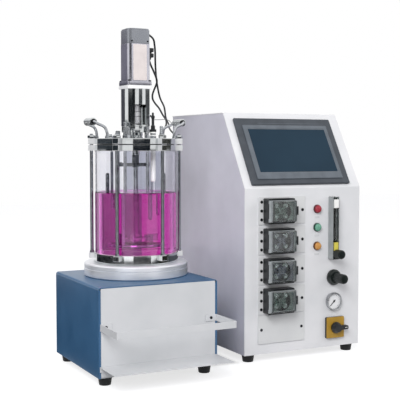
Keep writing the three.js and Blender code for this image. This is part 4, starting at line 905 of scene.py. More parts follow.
lowerSeal = flatSeal(inside, v.glass, v.glassLow - 0.3 - v.gasket, (0.4, 0.2))
upperSeal = flatSeal(v.clampBore, v.clampBore + v.sealWidth, v.clampHigh + 0.3, (0.3, 0.3))
piece("lower_seal", "frame", silicone, "silicone", [lowerSeal], stirrerAxis, ["lower_gasket"], 0)
piece("upper_seal", "frame", darkSilicone, "silicone", [upperSeal], stirrerAxis, ["upper_gasket"], 0)
rim = 1.4
piece("glass_cylinder", "frame", vesselGlass, "glass", [spun(
    arcPoints(v.glass - rim, v.glassLow + rim, rim, 270, 360, 4)
    + arcPoints(v.glass - rim, v.glassHigh - rim, rim, 0, 90, 4)
    + arcPoints(inside + rim, v.glassHigh - rim, rim, 90, 180, 4)
    + arcPoints(inside + rim, v.glassLow + rim, rim, 180, 270, 4)
    + [(v.glass - rim, v.glassLow)], 192)], stirrerAxis, ["glass_jar"], 0)
clamp = pipe(v.glass, v.clampBore, v.clampLow, v.clampHigh, 160)
piece("clamp_ring_plate", "frame", [mirrorSteel, blastedLitSteel], "polished_steel",
      withLugs(clamp, v.clampLow, v.clampHigh), stirrerAxis, ["clamp_ring"], 0.3)

# the broth climbs the glass in a curved rim, and reaches into the wall, so that it wets the glass
wet = inside + 1
surface = lifted(v.liquidTop, [(wet, 2), (inside - 0.4, 1.8), (inside - 1.4, 0.2), (inside - 5, -0.9),
                               (0, -1)])
piece("culture_broth_body", "frame", cultureBroth, "culture", [spun(
    [(0, v.plateHigh + 0.3), (wet - 1, v.plateHigh + 0.3), (wet, v.plateHigh + 1)] + surface, 192)],
      stirrerAxis, ["culture_liquid"], 0)
print("vessel made")


# lid: bored disc with its ports, nuts and the parts that hang below it
fittings = {
    "air_inlet": {"at": (-37, -26), "radius": 6.5, "height": 31, "kind": "hose"},
    "sample_port": {"at": (-40, 11), "radius": 8, "height": 18, "kind": "cap"},
    "fill_port": {"at": (-43, -54), "radius": 8, "height": 25, "kind": "cap"},
    "thermowell": {"at": (15, -35), "radius": 6, "height": 27, "kind": "gland"},
    "probe_port": {"at": (34, -24), "radius": 8, "height": 12, "kind": "collar"},
    "outlet": {"at": (64, -5), "radius": 7, "height": 30, "kind": "hose"},
    "plug": {"at": (10, 62), "radius": 8, "height": 12, "kind": "cap"},
}
tubes = {"radius": 4, "bore": 2.6, "sampleDrop": 150, "wellDrop": 175, "nut": 6.5, "nutHeight": 6}


def portFitting(fitting):
    # a hexagon foot on a washer, then a neck: barbed for a hose, knurled as a cap, or a gland nut
    low, high = v.lidHigh, v.lidHigh + fitting["height"]
    r, neck = fitting["radius"], fitting["radius"] * 0.68
    foot = low + min(7, fitting["height"] / 2)
    forms = [pin(r + 0.8, low + 0.05, low + 1.1, 40), hexagon(r, low + 1.1, foot, 12)]
    if fitting["kind"] == "hose":
        profile, z = [(0, foot - 0.5), (neck, foot - 0.5), (neck, foot + 5)], foot + 5
        barbs = 4
        step = (high - z) / barbs
        for i in range(barbs):
            profile += [(neck - 1.4, z + step * i + 0.2), (neck - 0.2, z + step * i + 0.9),
                        (neck - 1.2, z + step * (i + 1))]
        forms.append(spun(profile + [(0, high)], 40))
    elif fitting["kind"] == "cap":
        forms += [pin(neck - 1, foot - 0.5, foot + 2, 32), knurled(neck, foot + 1.5, high - 0.8, 18, 0.5),
                  pin(neck - 0.8, high - 1, high, 32)]
    elif fitting["kind"] == "gland":
        forms += [pin(neck - 0.6, foot - 0.5, high, 32), hexagon(neck, foot + 5, foot + 11, 20),
                  spun([(0, high - 4), (neck, high - 4), (neck, high - 1), (neck - 1, high), (0, high)],
                       32)]
    else:
        forms += [pin(neck, foot - 0.5, high - 2, 40), pin(neck + 1.2, high - 3.5, high, 40)]
    return [moved(form, *fitting["at"]) for form in forms]


lidDisc = turnedRing([(v.lidBore, v.lidLow), (v.glass, v.lidLow)] + lifted(v.lidHigh, [
    (v.glass, -1), (v.glass - 1, 0), (v.lidBore, 0)]), 160)
lidForms = withLugs(lidDisc, v.lidLow, v.lidHigh, True)
piece("lid_disc", "frame", [mirrorSteel, blastedLitSteel], "polished_steel", lidForms, stirrerAxis, ["lid"],
      0.3)
ports = [form for fitting in fittings.values() for form in portFitting(fitting)]
piece("lid_ports", "frame", rodSteel, "polished_steel", ports, stirrerAxis, edge=0.25)
x, y = fittings["sample_port"]["at"]
u, w = fittings["thermowell"]["at"]
wellTip = lifted(v.lidLow - tubes["wellDrop"], [(0, 0), (2.4, 0.7), (tubes["radius"], 3)])
dips = [moved(pipe(tubes["radius"], tubes["bore"], v.lidLow - tubes["sampleDrop"], v.lidLow + 1, 24), x, y),
        moved(spun(wellTip + [(tubes["radius"], v.lidLow + 1), (0, v.lidLow + 1)], 32), u, w)]
for place in ((x, y), (u, w)):
    nut = hexagon(tubes["nut"], v.lidLow - tubes["nutHeight"], v.lidLow - 0.2, 10)
    dips.append(moved(nut, *place))
piece("dip_tubes", "frame", rodSteel, "polished_steel", dips, stirrerAxis, edge=0.15)

# the sparger: a drilled ring of tube near the bottom, fed by a riser through the lid
sparger = {"at": fittings["air_inlet"]["at"], "height": 285.6, "ring": 47, "tube": 4, "top": 570.3,
           "holes": 12}
s = SimpleNamespace(**sparger)
reach = math.hypot(*s.at)
toward = math.degrees(math.atan2(s.at[1], s.at[0]))
loop = ringOf(s.ring, s.tube, s.height, 96, 16)
drills = copies(moved(pin(0.8, s.height, s.height + 6, 12), s.ring), s.holes, 15)
spoke = rotated(pin(s.tube, 0, s.ring - reach + 2, 24), 90, "Y")
spoke = rotated(moved(spoke, reach - 2, 0, s.height), toward)
riser = spun(lifted(s.height, [(0, -3), (s.tube, -2)]) + lifted(s.top, [
    (s.tube, -1), (s.tube - 1, 0), (2.4, 0), (2.4, -12), (0, -12)]), 32)
piece("sparger_tube", "frame", rodSteel, "polished_steel",
      [carved(loop, *drills), spoke, moved(riser, *s.at)], stirrerAxis, ["sparger"], 0.1)

probe = {"at": fittings["probe_port"]["at"], "body": 6, "bodyLow": 432.3, "stem": 4, "stemLow": 354.3,
         "top": 545.6, "flare": 8, "cap": 5, "capTop": 593.6}
p = SimpleNamespace(**probe)
shell = spun(lifted(p.bodyLow, [(0, 0), (p.stem, 0), (p.body - 0.5, 2), (p.body, 4)])
             + lifted(p.top, [(p.body, 0), (p.flare, 0), (p.flare, 3), (0, 3)]), 40)
stem = spun(lifted(p.stemLow, [(0, 0), (2.5, 0.8), (p.stem, 4), (3.4, 8), (3.6, 14)])
            + lifted(p.bodyLow, [(p.stem, 0.5), (0, 0.5)]), 32)
capNut = knurled(p.flare - 0.2, p.top + 3, p.top + 9, 20, 0.6)
plug = spun(lifted(p.top, [(0, 9), (p.cap, 9), (p.cap, 17), (3.2, 19)]) + lifted(p.capTop, [
    (3.2, -14), (p.cap - 0.6, -13), (p.cap - 0.6, -8), (2.6, -7), (2.2, 0), (0, 0)]), 32)
piece("ph_probe_body", "frame", [whitePlastic, vesselGlass, blackPlastic], "silicone",
      [(moved(form, *p.at), number) for form, number in ((shell, 0), (stem, 1), (capNut, 2), (plug, 2))],
      stirrerAxis, ["ph_probe"], 0.15)

# lifting handles: chromed wire bails with ribbed grips
handle = {"wire": 3.3, "half": 34, "foot": 84, "out": 28, "grip": 37.5, "length": 46, "thick": 9, "ribs": 5,
          "ribDepth": 2.6, "collar": 5}
h = SimpleNamespace(**handle)
for side, name in ((-1, "left"), (1, "right")):
    z = v.lidHigh + 0.3
    leg = [(h.half, 0, 0), (h.half, 0, 12), (h.half - 1, h.out * 0.2, 25),
           (h.half - 3, h.out * 0.75, h.grip - 5), (h.length / 2 + 3, h.out, h.grip),
           (h.length / 2 - 2, h.out, h.grip)]
    line = [(side * (h.foot + r), u, z + up) for u, r, up in leg]
    line += [(side * (h.foot + h.out), 0, z + h.grip)]
    line += [(side * (h.foot + r), -u, z + up) for u, r, up in leg[::-1]]
    feet = []
    for u in (-h.half, h.half):
        feet += [moved(pin(h.collar, z, z + 1.2, 32), side * h.foot, u),
                 moved(hexagon(h.collar, z + 1.2, z + h.collar), side * h.foot, u)]
    piece("handle_bail_" + name, "frame", rodSteel, "polished_steel",
          [swept(line, h.wire, 72, 20)] + feet, stirrerAxis, ["handle_" + name], 0.2)
    core = h.thick - h.ribDepth
    pitch = h.length / h.ribs
    grip = [(pipe(core, h.wire + 0.4, -h.length / 2, h.length / 2, 40), 1)]  # the core between the ribs in black rubber: painted shade in the grooves
    for i in range(h.ribs):
        grip.append((turnedRing(lifted(pitch * i - h.length / 2, [
            (core - 0.5, 1.2), (h.thick - 0.7, 1.4), (h.thick, pitch * 0.36), (h.thick, pitch * 0.64),
            (h.thick - 0.7, pitch - 1.4), (core - 0.5, pitch - 1.2)]), 40), 0))
    forms = [(moved(facing(form), side * (h.foot + h.out), 0, z + h.grip), number) for form, number in grip]
    piece("grip_" + name, "frame", [mirrorSteel, blackRubber], "polished_steel", forms,
          stirrerAxis, ["handle_grip_" + name], 0)
print("lid and handles made")


# stirrer drive: bearing housing, slotted tube, adapter, motor
drive = {"neckTop": 547.3, "flangeTop": 561.3, "flange": 33, "neck": 17, "screwCircle": 26, "screw": 3.2,
         "spigot": 15, "collarLow": 511, "hub": 9.5, "hubLow": 497, "nut": 9, "armLow": 468.3,
         "armHigh": 476.3, "armLeft": -48, "armRight": 36, "armHalf": 4, "armScrews": (-37, 34),
         "bore": 6.3, "tube": 34, "tubeWall": 3,
         "tubeLow": 561.6, "tubeHigh": 647.6, "windowHalf": 14.5, "windowLow": 564.6, "windowHigh": 611.6,
         "plate": 30, "plateBore": 20, "plateLow": 647.9, "plateHigh": 655.9, "sensorHeight": 586.6}
d = SimpleNamespace(**drive)
body = turnedRing(
    lifted(d.hubLow, [(d.bore, -2), (d.hub, -2)])
    + lifted(d.collarLow, [(d.hub, 0), (d.spigot - 1, 0), (d.spigot, 1)])
    + lifted(v.lidHigh, [(d.spigot, 0.3), (d.neck, 0.3), (d.neck, 4), (d.neck - 1.2, 4.6),
                         (d.neck - 1.2, 6.4), (d.neck, 7)])
    + [(d.neck, d.neckTop), (d.flange, d.neckTop), (d.flange, d.flangeTop), (d.bore, d.flangeTop)], 96)
housing = [body,
           (pipe(d.nut, d.bore, d.armLow - 2, d.hubLow, 6), 1),
           (prism(roundedOutline(d.armLeft, d.armRight, -d.armHalf, d.armHalf, 3.9), d.armLow, d.armHigh),
            1)]
for x in d.armScrews:
    housing.append(moved(socketScrew(2.6, 2.4), x, 0, d.armHigh - 0.1))
housing += copies(moved(pin(d.screw, v.lidHigh + 0.3, d.neckTop + 1, 24), d.screwCircle), 4, 45)
piece("bearing_housing", "frame", [mirrorSteel, darkSteel], "polished_steel", housing, stirrerAxis,
      ["drive_housing"], 0.5)
tubeBody = pipe(d.tube, d.tube - d.tubeWall, d.tubeLow, d.tubeHigh, 128)
window = prism(roundedOutline(-d.windowHalf, d.windowHalf, d.windowLow, d.windowHigh, 3),
               -d.tube - 5, 0, "y")
gland = moved(rotated(spun([(0, 0), (3, 0), (3, 2.4), (2.4, 2.6), (2.4, 6.8), (1.2, 7.4), (0, 7.4)], 24),
                      90, "Y"), d.tube - 1.1, 0, d.sensorHeight)
piece("drive_tube_body", "frame", [mirrorSteel, blackPlastic], "polished_steel",
      [carved(tubeBody, window), (gland, 1)], stirrerAxis, ["drive_tube"], 0.3)
adapterPlate = carved(prism(squareOutline(d.plate, 2), d.plateLow, d.plateHigh),
                      pin(d.plateBore, d.plateLow - 1, d.plateHigh + 1, 64))
piece("adapter_plate_milled", "frame", milledAluminium, "satin_aluminium", [adapterPlate], stirrerAxis,
      ["adapter_plate"], 0.5)

motor = {"flangeLow": 656.2, "flangeHigh": 665.2, "half": 29, "corner": 12, "crown": 3.6,
         "bodyHigh": 751.7, "capHalf": 28.7, "capLow": 752, "capHigh": 786.2, "connectorLow": 722.7,
         "connectorHigh": 744.7, "connectorOut": 42, "connectorHalf": 12, "glandLow": 716.7,
         "glandX": 35.5, "capGland": 776.2, "cable": 4.5, "labelHalf": 16.8, "labelLow": 667.5,
         "labelHigh": 749.5, "flange": 30, "screwAt": 25.48, "capScrewAt": 19.475,
         "plugGap": 3, "plugScrew": 9, "coreHalf": 9}
m = SimpleNamespace(**motor)


def cornered(half, corner, low, high):
    # a square bar whose corners are rolled in two facets
    c, k = half - corner, half - m.crown
    return prism([(-c, -half), (c, -half), (k, -k), (half, -c), (half, c), (k, k), (c, half), (-c, half),
                  (-k, k), (-half, c), (-half, -c), (-k, -k)], low, high)


motorForms = [prism(squareOutline(m.flange, 4), m.flangeLow, m.flangeHigh),
              cornered(m.half, m.corner, m.flangeHigh - 1, m.bodyHigh)]
for x in (-m.screwAt, m.screwAt):
    for y in (-m.screwAt, m.screwAt):
        motorForms.append((moved(socketScrew(3.6, 3.4), x, y, m.flangeHigh - 0.1), 2))
motorForms.append((prism(roundedOutline(-m.labelHalf, m.labelHalf, m.labelLow, m.labelHigh, 1.5),
                         -m.half - 0.25, -m.half + 0.1, "y"), 1))
plugHeight = (m.connectorHigh - m.connectorLow - m.plugGap) / 2
for z in (m.connectorLow, m.connectorLow + plugHeight + m.plugGap):
    motorForms.append((prism(roundedOutline(-m.connectorHalf, m.connectorHalf, z, z + plugHeight, 2.5),
                             m.half - 1, m.connectorOut, "x"), 3))
    for y in (-m.plugScrew, m.plugScrew):
        motorForms.append((moved(rotated(socketScrew(1.6, 1.2), 90, "Y"), m.connectorOut - 0.9, y,
                                 z + plugHeight / 2), 2))
motorForms.append((slab(m.half - 1, m.connectorOut - 4, -m.coreHalf, m.coreHalf, m.connectorLow + 1,
                        m.connectorHigh - 1), 3))
motorForms.append((moved(spun([(0, m.glandLow), (2.4, m.glandLow), (m.cable - 0.8, m.glandLow + 2),
                               (m.cable, m.glandLow + 2.4), (m.cable, m.connectorLow + 1),
                               (0, m.connectorLow + 1)], 32), m.glandX), 3))
piece("servo_motor_body", "frame", [motorEnamel, labelFilm, blackScrew, blackPlastic], "motor_paint",
      motorForms, stirrerAxis, ["motor_body"], 0.5)
capForms = [cornered(m.capHalf, m.corner, m.capLow, m.capHigh - 3),
            cornered(m.capHalf - 1.2, m.corner - 0.3, m.capHigh - 3.2, m.capHigh)]
for x in (-m.capScrewAt, m.capScrewAt):
    for y, turn in ((-1, 0), (1, 180)):
        head = rotated(facing(socketScrew(1.9, 0.9)), turn)
        capForms.append((moved(head, x, y * m.capHalf, m.capLow + 5), 1))
capForms.append((moved(rotated(spun([(0, 0), (m.cable, 0), (m.cable, 3.4), (m.cable - 0.8, 4), (2.5, 6.9),
                                     (0, 6.9)], 32), 90, "Y"), m.capHalf - 1, 0, m.capGland), 2))
piece("servo_motor_cap", "frame", [capEnamel, blackScrew, blackPlastic], "grey_plastic", capForms,
      stirrerAxis, ["motor_cap"], 0.5)

# turning parts: shaft, clamp coupling and six-bladed impeller
stirrer = {"shaft": 6, "low": 288.6, "high": 583.6, "coupling": 14, "couplingLow": 567.6,
           "couplingHigh": 611.6, "motorShaft": 4, "motorShaftHigh": 682.2, "disc": 302.6,
           "discRadius": 30, "hub": 10, "hubHalf": 8.5, "blade": 20, "bladeHalf": 8.5, "bladeThick": 2.5,
           "blades": 6, "slit": 0.75, "clampScrew": (8.5, -9.5)}
t = SimpleNamespace(**stirrer)
piece("stirrer_shaft_rod", "stirrer", rodSteel, "polished_steel", [spun([
    (0, t.low), (t.shaft - 1, t.low), (t.shaft, t.low + 1), (t.shaft, t.high - 1),
    (t.shaft - 1, t.high), (0, t.high)], 48)], stirrerAxis, ["stirrer_shaft"], 0)
bore = t.shaft + 0.3
clampBody = turnedRing(
    lifted(t.couplingLow, [(bore, 0), (t.coupling - 0.6, 0), (t.coupling, 0.6)])
    + lifted(t.couplingHigh, [(t.coupling, -0.6), (t.coupling - 0.6, 0), (t.motorShaft, 0)])
    + lifted(t.high, [(t.motorShaft, 2), (bore, 2)]), 64)
slits = [slab(0, t.coupling + 1, -t.slit, t.slit, low, low + 9)
         for low in (t.couplingLow - 1, t.couplingHigh - 8)]
middle = (t.couplingLow + t.couplingHigh) / 2
slits += [slab(-t.coupling - 1, t.coupling - 4, -t.coupling - 1, t.coupling + 1, middle + up,
               middle + up + 1.2) for up in (-6, 6)]
clampScrews = [(moved(facing(socketScrew(2, 2)), *t.clampScrew, z), 1)
               for z in (t.couplingLow + 5, t.couplingHigh - 5)]
piece("clamp_coupling", "stirrer", [turnedAluminium, blackScrew, rodSteel], "satin_aluminium",
      [carved(clampBody, *slits), *clampScrews, (pin(t.motorShaft, t.high + 4, t.motorShaftHigh, 32), 2)],
      stirrerAxis, ["shaft_coupling"], 0.25)
hub = pipe(t.hub, bore, t.disc - t.hubHalf, t.disc + t.hubHalf, 48)
disc = pipe(t.discRadius, t.hub - 1, t.disc - 1.5, t.disc + 1.5, 64)
half = t.blade / 2
blade = slab(t.discRadius - half, t.discRadius + half, -t.bladeThick / 2, t.bladeThick / 2,
             t.disc - t.bladeHalf, t.disc + t.bladeHalf)
setScrew = moved(rotated(socketScrew(2.2, 1.6), 90, "Y"), t.hub - 0.4, 0, t.disc + 5)
piece("impeller_turbine", "stirrer", mirrorSteel, "polished_steel",
      [hub, disc, *copies(blade, t.blades), setScrew], stirrerAxis, ["impeller"], 0.4)
print("drive made")


# control cabinet: folded front, wrap and floor
cabinet = {"width": 330, "depth": 400, "floor": 18.5, "brow": 415.5, "roof": 597.5, "slopeDepth": 109,
           "sheet": 2, "fold": 4, "slack": 0.3,
           "glands": {"cap": (40, 530, 4.5), "motor": (40, 487, 4.5), "sensor": (24, 560, 3)}}
c = SimpleNamespace(**cabinet)
# where things sit on the front, in mm: across from its left edge and up from the bench
panel = {"pumpX": 85.5, "pumps": [362.3, 290.7, 219.1, 147.5], "lampX": 203,
         "lamps": {"red": 362.5, "green": 317.5, "amber": 271.5}, "regulator": (252, 191.5),
         "gauge": (252, 131.5), "switch": (255, 66.5), "screenHole": (33.7, 286.3, 20.7, 179.3)}
# the holes behind them: radii, and half the side of the switch's square one
bores = {"pump": 24.3, "lamp": 9.3, "regulator": 6.3, "gauge": 20.3, "switch": 20.3}
slopeTurn = math.degrees(math.atan2(c.roof - c.brow, c.slopeDepth))


def sideLine(t):
    # the cabinet's side outline, moved in by t: front foot, brow, roof edge, rear top
    drop = t * math.tan(math.radians(90 - slopeTurn) / 2)
    run = t * math.tan(math.radians(slopeTurn) / 2)
    return [(t, c.floor), (t, c.brow - drop), (c.slopeDepth + run, c.roof - t), (c.depth - t, c.roof - t)]


def foldedLine(t):
    # the same line with its two folds rounded
    low, brow, edge, rear = sideLine(t)
    points = [low]
    for before, corner, after in ((low, brow, edge), (brow, edge, rear)):
        a = (Vector(before) - Vector(corner)).normalized()
        d = (Vector(after) - Vector(corner)).normalized()
        opening = a.angle(d)
        radius = c.fold - t
        centre = Vector(corner) + (a + d).normalized() * (radius / math.sin(opening / 2))
        reach = radius / math.tan(opening / 2)
        start, end = Vector(corner) + a * reach - centre, Vector(corner) + d * reach - centre
        first, last = math.atan2(start.y, start.x), math.atan2(end.y, end.x)
        last += 2 * math.pi * round((first - last) / (2 * math.pi))
        points += [(centre.x + radius * math.cos(first + (last - first) * i / 6),
                    centre.y + radius * math.sin(first + (last - first) * i / 6)) for i in range(7)]
    return points + [rear]


def onSlope(form):
    return moved(rotated(form, slopeTurn - 90, "X"), 0, 0, c.brow)


def frontHole(radius, x, height, segments=32):
    return moved(facing(pin(radius, -7, 5, segments)), x, 0, height)


def onPanel(name, out=0):
    x, height = panel[name]
    return inCabinet(x, out, height)


outer = foldedLine(0)
inner = foldedLine(c.sheet)
frontSheet = prism(outer + [(c.depth, c.roof - c.sheet)] + inner[::-1], 0, c.width, "x")
left, right, low, high = panel["screenHole"]
holes = [onSlope(slab(left, right, -5, 7, low, high))]
holes += [frontHole(bores["pump"], panel["pumpX"], height, 48) for height in panel["pumps"]]
holes += [frontHole(bores["lamp"], panel["lampX"], height) for height in panel["lamps"].values()]
holes += [frontHole(bores[name], *panel[name]) for name in ("regulator", "gauge")]
(x, height), half = panel["switch"], bores["switch"]
holes += [slab(x - half, x + half, -5, 7, height - half, height + half)]
piece("cabinet_front_sheet", "frame", whitePowder, "white_paint", [carved(frontSheet, *holes)],
      cabinetCorner, ["cabinet_front"], 0)
thick, bend, right, rear = c.sheet, c.fold, c.width - c.fold, c.depth - c.fold
plan = ([(0, thick)] + arcPoints(bend, rear, bend, 180, 90) + arcPoints(right, rear, bend, 90, 0)
        + [(c.width, thick), (c.width - thick, thick)] + arcPoints(right, rear, bend - thick, 0, 90)
        + arcPoints(bend, rear, bend - thick, 90, 180) + [(thick, thick)])
foot, brow, edge, back = sideLine(c.sheet + c.slack)
# everything outside the front sheet's line, cut away from the plain box of sides and back
above = prism([(foot[0], c.floor - 5), brow, edge, (500, edge[1]), (500, 900), (-60, 900),
               (-60, c.floor - 5)], -50, 400, "x")
wrap = [carved(prism(plan, c.floor, c.roof), above)]
for x, z, radius in c.glands.values():
    nut = rotated(hexagon(radius, 0, 2.4, 15), -90, "X")
    dome = rotated(spun([(0, 2.3), (radius * 0.85, 2.3), (radius * 0.85, 4.4), (radius * 0.6, 6), (0, 6)],
                        32), -90, "X")
    wrap += [(moved(nut, x, c.depth - 0.1, z), 1), (moved(dome, x, c.depth - 0.1, z), 1)]
piece("cabinet_sides_and_back", "frame", [greyPowder, blackPlastic], "grey_paint", wrap, cabinetCorner,
      ["cabinet_wrap"], 0.3)
inner = c.sheet + c.slack
piece("cabinet_floor_and_feet", "frame", [greyPowder, blackRubber], "black_rubber",
      footedFloor(inner, c.width - inner, inner, c.depth - inner), cabinetCorner, ["cabinet_floor"], 0.4)
print("cabinet shell made")


# touchscreen: stepped anthracite bezel round a dark display
bezel = {"width": 280, "height": 186, "left": 20, "up": 7, "face": -7.3, "lip": -9.8, "screenWidth": 222,
         "screenHeight": 120, "aside": 2, "lipLeft": 14, "lipRight": 9, "lipTop": 12, "lipBottom": 20,
         "pocket": -5, "rear": 30, "screenFace": -8.3, "screenThick": 3,
         "edgeLine": (84, 278, 177.6, 178.5)}
z = SimpleNamespace(**bezel)


def lofted(loops):
    # joins loops of points, one to the next, and caps both ends
    form = bmesh.new()
    rings = [[form.verts.new(point) for point in loop] for loop in loops]
    form.faces.new(rings[0])
    for lower, upper in zip(rings, rings[1:]):
        for i in range(len(lower)):
            form.faces.new((lower[i], lower[(i + 1) % len(lower)], upper[(i + 1) % len(lower)], upper[i]))
    form.faces.new(rings[-1])
    bmesh.ops.recalc_face_normals(form, faces=form.faces)
    return form


def bezelLoop(inset, depth, radius):
    # round the whole bezel, moved in
    outline = roundedOutline(z.left + inset, z.left + z.width - inset,
                             z.up + inset, z.up + z.height - inset, radius, 4)
    return [(a, depth, b) for a, b in outline]


def lipLoop(share, more, depth, radius):
    # round the screen: share 0 is the screen's own edge and 1 the raised lip's outer edge
    x, up = z.left + z.width / 2 + z.aside, z.up + z.height / 2
    w, h = z.screenWidth / 2 + more, z.screenHeight / 2 + more
    outline = roundedOutline(x - w - share * z.lipLeft, x + w + share * z.lipRight,
                             up - h - share * z.lipBottom, up + h + share * z.lipTop, radius, 4)
    return [(a, depth, b) for a, b in outline]


body = lofted([bezelLoop(14, z.rear, 2), bezelLoop(14, -0.3, 2), bezelLoop(0.6, -0.3, 2.4),
               bezelLoop(0, -1, 3), bezelLoop(0, z.face + 1.5, 3), bezelLoop(1.5, z.face, 2),
               lipLoop(1, -0.3, z.face, 2)])
lip = lofted([lipLoop(1, -0.5, z.face + 0.4, 2), lipLoop(1, -0.2, z.lip + 0.9, 2),
              lipLoop(1, -1.1, z.lip, 1.6)])
opening = lofted([lipLoop(0, 0.3, depth, 0.5) for depth in (-20, z.pocket)])
funnel = lofted([lipLoop(0, 3.2, z.lip - 0.4, 1), lipLoop(0, 3.2, z.lip + 0.1, 1),
                 lipLoop(0, 0.3, z.screenFace + 0.1, 0.4)])
left, right, low, high = z.edgeLine
# the surround, its raised lip in the lighter copy, and above the lip a thin strip of it that is a painted
# highlight line
frameForms = [onSlope(carved(body, opening.copy())), (onSlope(carved(lip, opening, funnel)), 1),
              (onSlope(slab(left, right, z.face - 0.2, z.face + 0.5, low, high)), 1)]
piece("screen_surround", "frame", [bezelPlastic, litBezelPlastic], "grey_plastic", frameForms, cabinetCorner,
      ["screen_bezel"], 0)
glassPlate = lofted([lipLoop(0, 0, depth, 1) for depth in (z.screenFace, z.screenFace + z.screenThick)])
piece("display_glass", "frame", screenGlass, "screen_glass", [onSlope(glassPlate)], cabinetCorner,
      ["screen"], 0.3)
print("touchscreen made")


# four tube pumps: head with its roller track, rotor, hinged clear cover, latch
pump = {"plateLeft": 36, "plateRight": 167, "plateHalf": 33, "plateFront": -2.8, "bodyLeft": 49,
        "bodyRight": 122, "half": 30, "front": -26.8, "rotorX": 85.5, "track": 26, "pocket": 12,
        "spindle": 3, "spindleReach": 11, "rotor": 18, "roller": 5.5, "rollers": 4, "hub": 8,
        "rotorDepth": 9, "hingeX": 51.6, "hingeY": -29.7, "hinge": 2.6, "hingePin": 1.4, "lug": 4,
        "coverHalf": 25.7, "wall": 2.5, "coverFront": -38.1, "coverBack": -27.1, "coverLeft": 52.6,
        "coverRight": 121, "latchLeft": 123, "latchRight": 131, "latchHalf": 10, "latchFront": -31.8,
        "motor": 24, "motorEnd": 60, "screw": 3.6, "screws": [(44, -21), (44, 0), (44, 21), (159, 0)],
        # slot: where a black strip of painted shadow lies on the head's face, under the cover's top edge
        "face": (59.5, 117, 22.3), "faceBore": 24.2, "slot": (64, 107, 23.2, 28.4),
        "spindleBore": 3.3, "ribStep": 2.4}
p = SimpleNamespace(**pump)


def pumpHead():
    plate = prism(roundedOutline(p.plateLeft, p.plateRight, -p.plateHalf, p.plateHalf, 1.5),
                  p.plateFront, -0.3, "y")
    block = prism(roundedOutline(p.bodyLeft, p.bodyRight, -p.half, p.half, 3), p.front, -1.3, "y")
    track = moved(facing(pin(p.track, 0, 30, 96)), p.rotorX, p.front + p.pocket)
    bore = moved(facing(pin(p.spindleBore, -40, 0)), p.rotorX, p.front + p.pocket - 1)
    block = carved(block, track, bore)
    left, right, half = p.face
    face = carved(prism(roundedOutline(left, right, -half, half, 3), p.front - 1.8, p.front + 0.1, "y"),
                  moved(facing(pin(p.faceBore, -5, 30, 96)), p.rotorX, p.front))
    # a black strip in the head's face just under the cover's top edge: painted shadow of the cover's edge
    left, right, low, high = p.slot
    slot = slab(left, right, p.front - 0.7, p.front + 0.1, low, high)
    forms = [(plate, 1), block, (slot, 3), (face, 2)]
    for low in (-p.half, p.half - p.lug):  # lugs that hold the hinge pin
        lug = ([(p.bodyLeft, p.front + 1), (p.bodyLeft, p.hingeY)]
               + arcPoints(p.hingeX, p.hingeY, p.hinge, 180, 360, 10) + [(p.hingeX + p.hinge, p.front + 1)])
        forms.append(prism(lug, low, low + p.lug))
    forms.append((moved(pin(p.hingePin, -p.half + 1, p.half - 1, 20), p.hingeX, p.hingeY), 4))
    latch = [(p.latchLeft, -1.8), (p.latchLeft, p.latchFront + 3), (p.latchLeft + 2, p.latchFront),
             (p.latchRight - 2, p.latchFront), (p.latchRight, p.latchFront + 4), (p.latchRight, -1.8)]
    forms.append(prism(latch, -p.latchHalf, p.latchHalf))
    for k in range(-3, 4):  # finger ribs on the latch
        forms.append(slab(p.latchLeft + 2.2, p.latchRight - 2.2, p.latchFront - 0.1, p.latchFront + 0.6,
                          k * p.ribStep - 0.5, k * p.ribStep + 0.5))
    for x, up in p.screws:
        forms.append((moved(facing(socketScrew(p.screw, 1.5)), x, p.plateFront, up), 3))
    can = rotated(spun([(0, 0.3), (p.motor, 0.3), (p.motor, p.motorEnd - 2),
                        (p.motor - 2, p.motorEnd), (0, p.motorEnd)], 64), -90, "X")
    forms.append((moved(can, p.rotorX), 4))
    return forms


def pumpRotorForms():
    back = p.front + p.pocket - 1
    disc = moved(facing(spun([(0, 0), (p.rotor - 0.6, 0), (p.rotor, 0.6), (p.rotor, 2), (0, 2)], 64)),
                 p.rotorX, back)
    cap = moved(facing(spun([(0, 1), (p.hub, 1), (p.hub, p.rotorDepth - 0.8),
                             (p.hub - 1, p.rotorDepth), (3.2, p.rotorDepth), (2.6, p.rotorDepth - 2),
                             (0, p.rotorDepth - 2)], 40)), p.rotorX, back)
    forms = [disc, cap,
             (moved(rotated(pin(p.spindle, back, p.spindleReach, 24), -90, "X"), p.rotorX), 2)]
    for i in range(p.rollers):
        turn = math.radians(45 + 90 * i)
        x, up = p.rotorX + p.rotor * math.cos(turn), p.rotor * math.sin(turn)
        # a barrel roller on its pin, and the arm of the rotor's spider that carries it
        roller = spun([(0, 1.9), (p.roller - 0.8, 1.9), (p.roller, 3), (p.roller, 7.6),
                       (p.roller - 0.8, 8.6), (0, 8.6)], 32)
        forms.append((moved(facing(roller), x, back, up), 1))
        forms.append((moved(facing(pin(1.6, 8, p.rotorDepth, 16)), x, back, up), 2))
        arm = prism(roundedOutline(0, p.rotor + 3, -2.6, 2.6, 2.4), -p.rotorDepth + 0.2,
                    -p.rotorDepth + 1.8, "y")
        forms.append(moved(rotated(arm, -math.degrees(turn), "Y"), p.rotorX, back))
    return forms


def coverLoop(x0, x1, half, depth, radius):
    return [(a, depth, b) for a, b in roundedOutline(x0, x1, -half, half, radius, 5)]


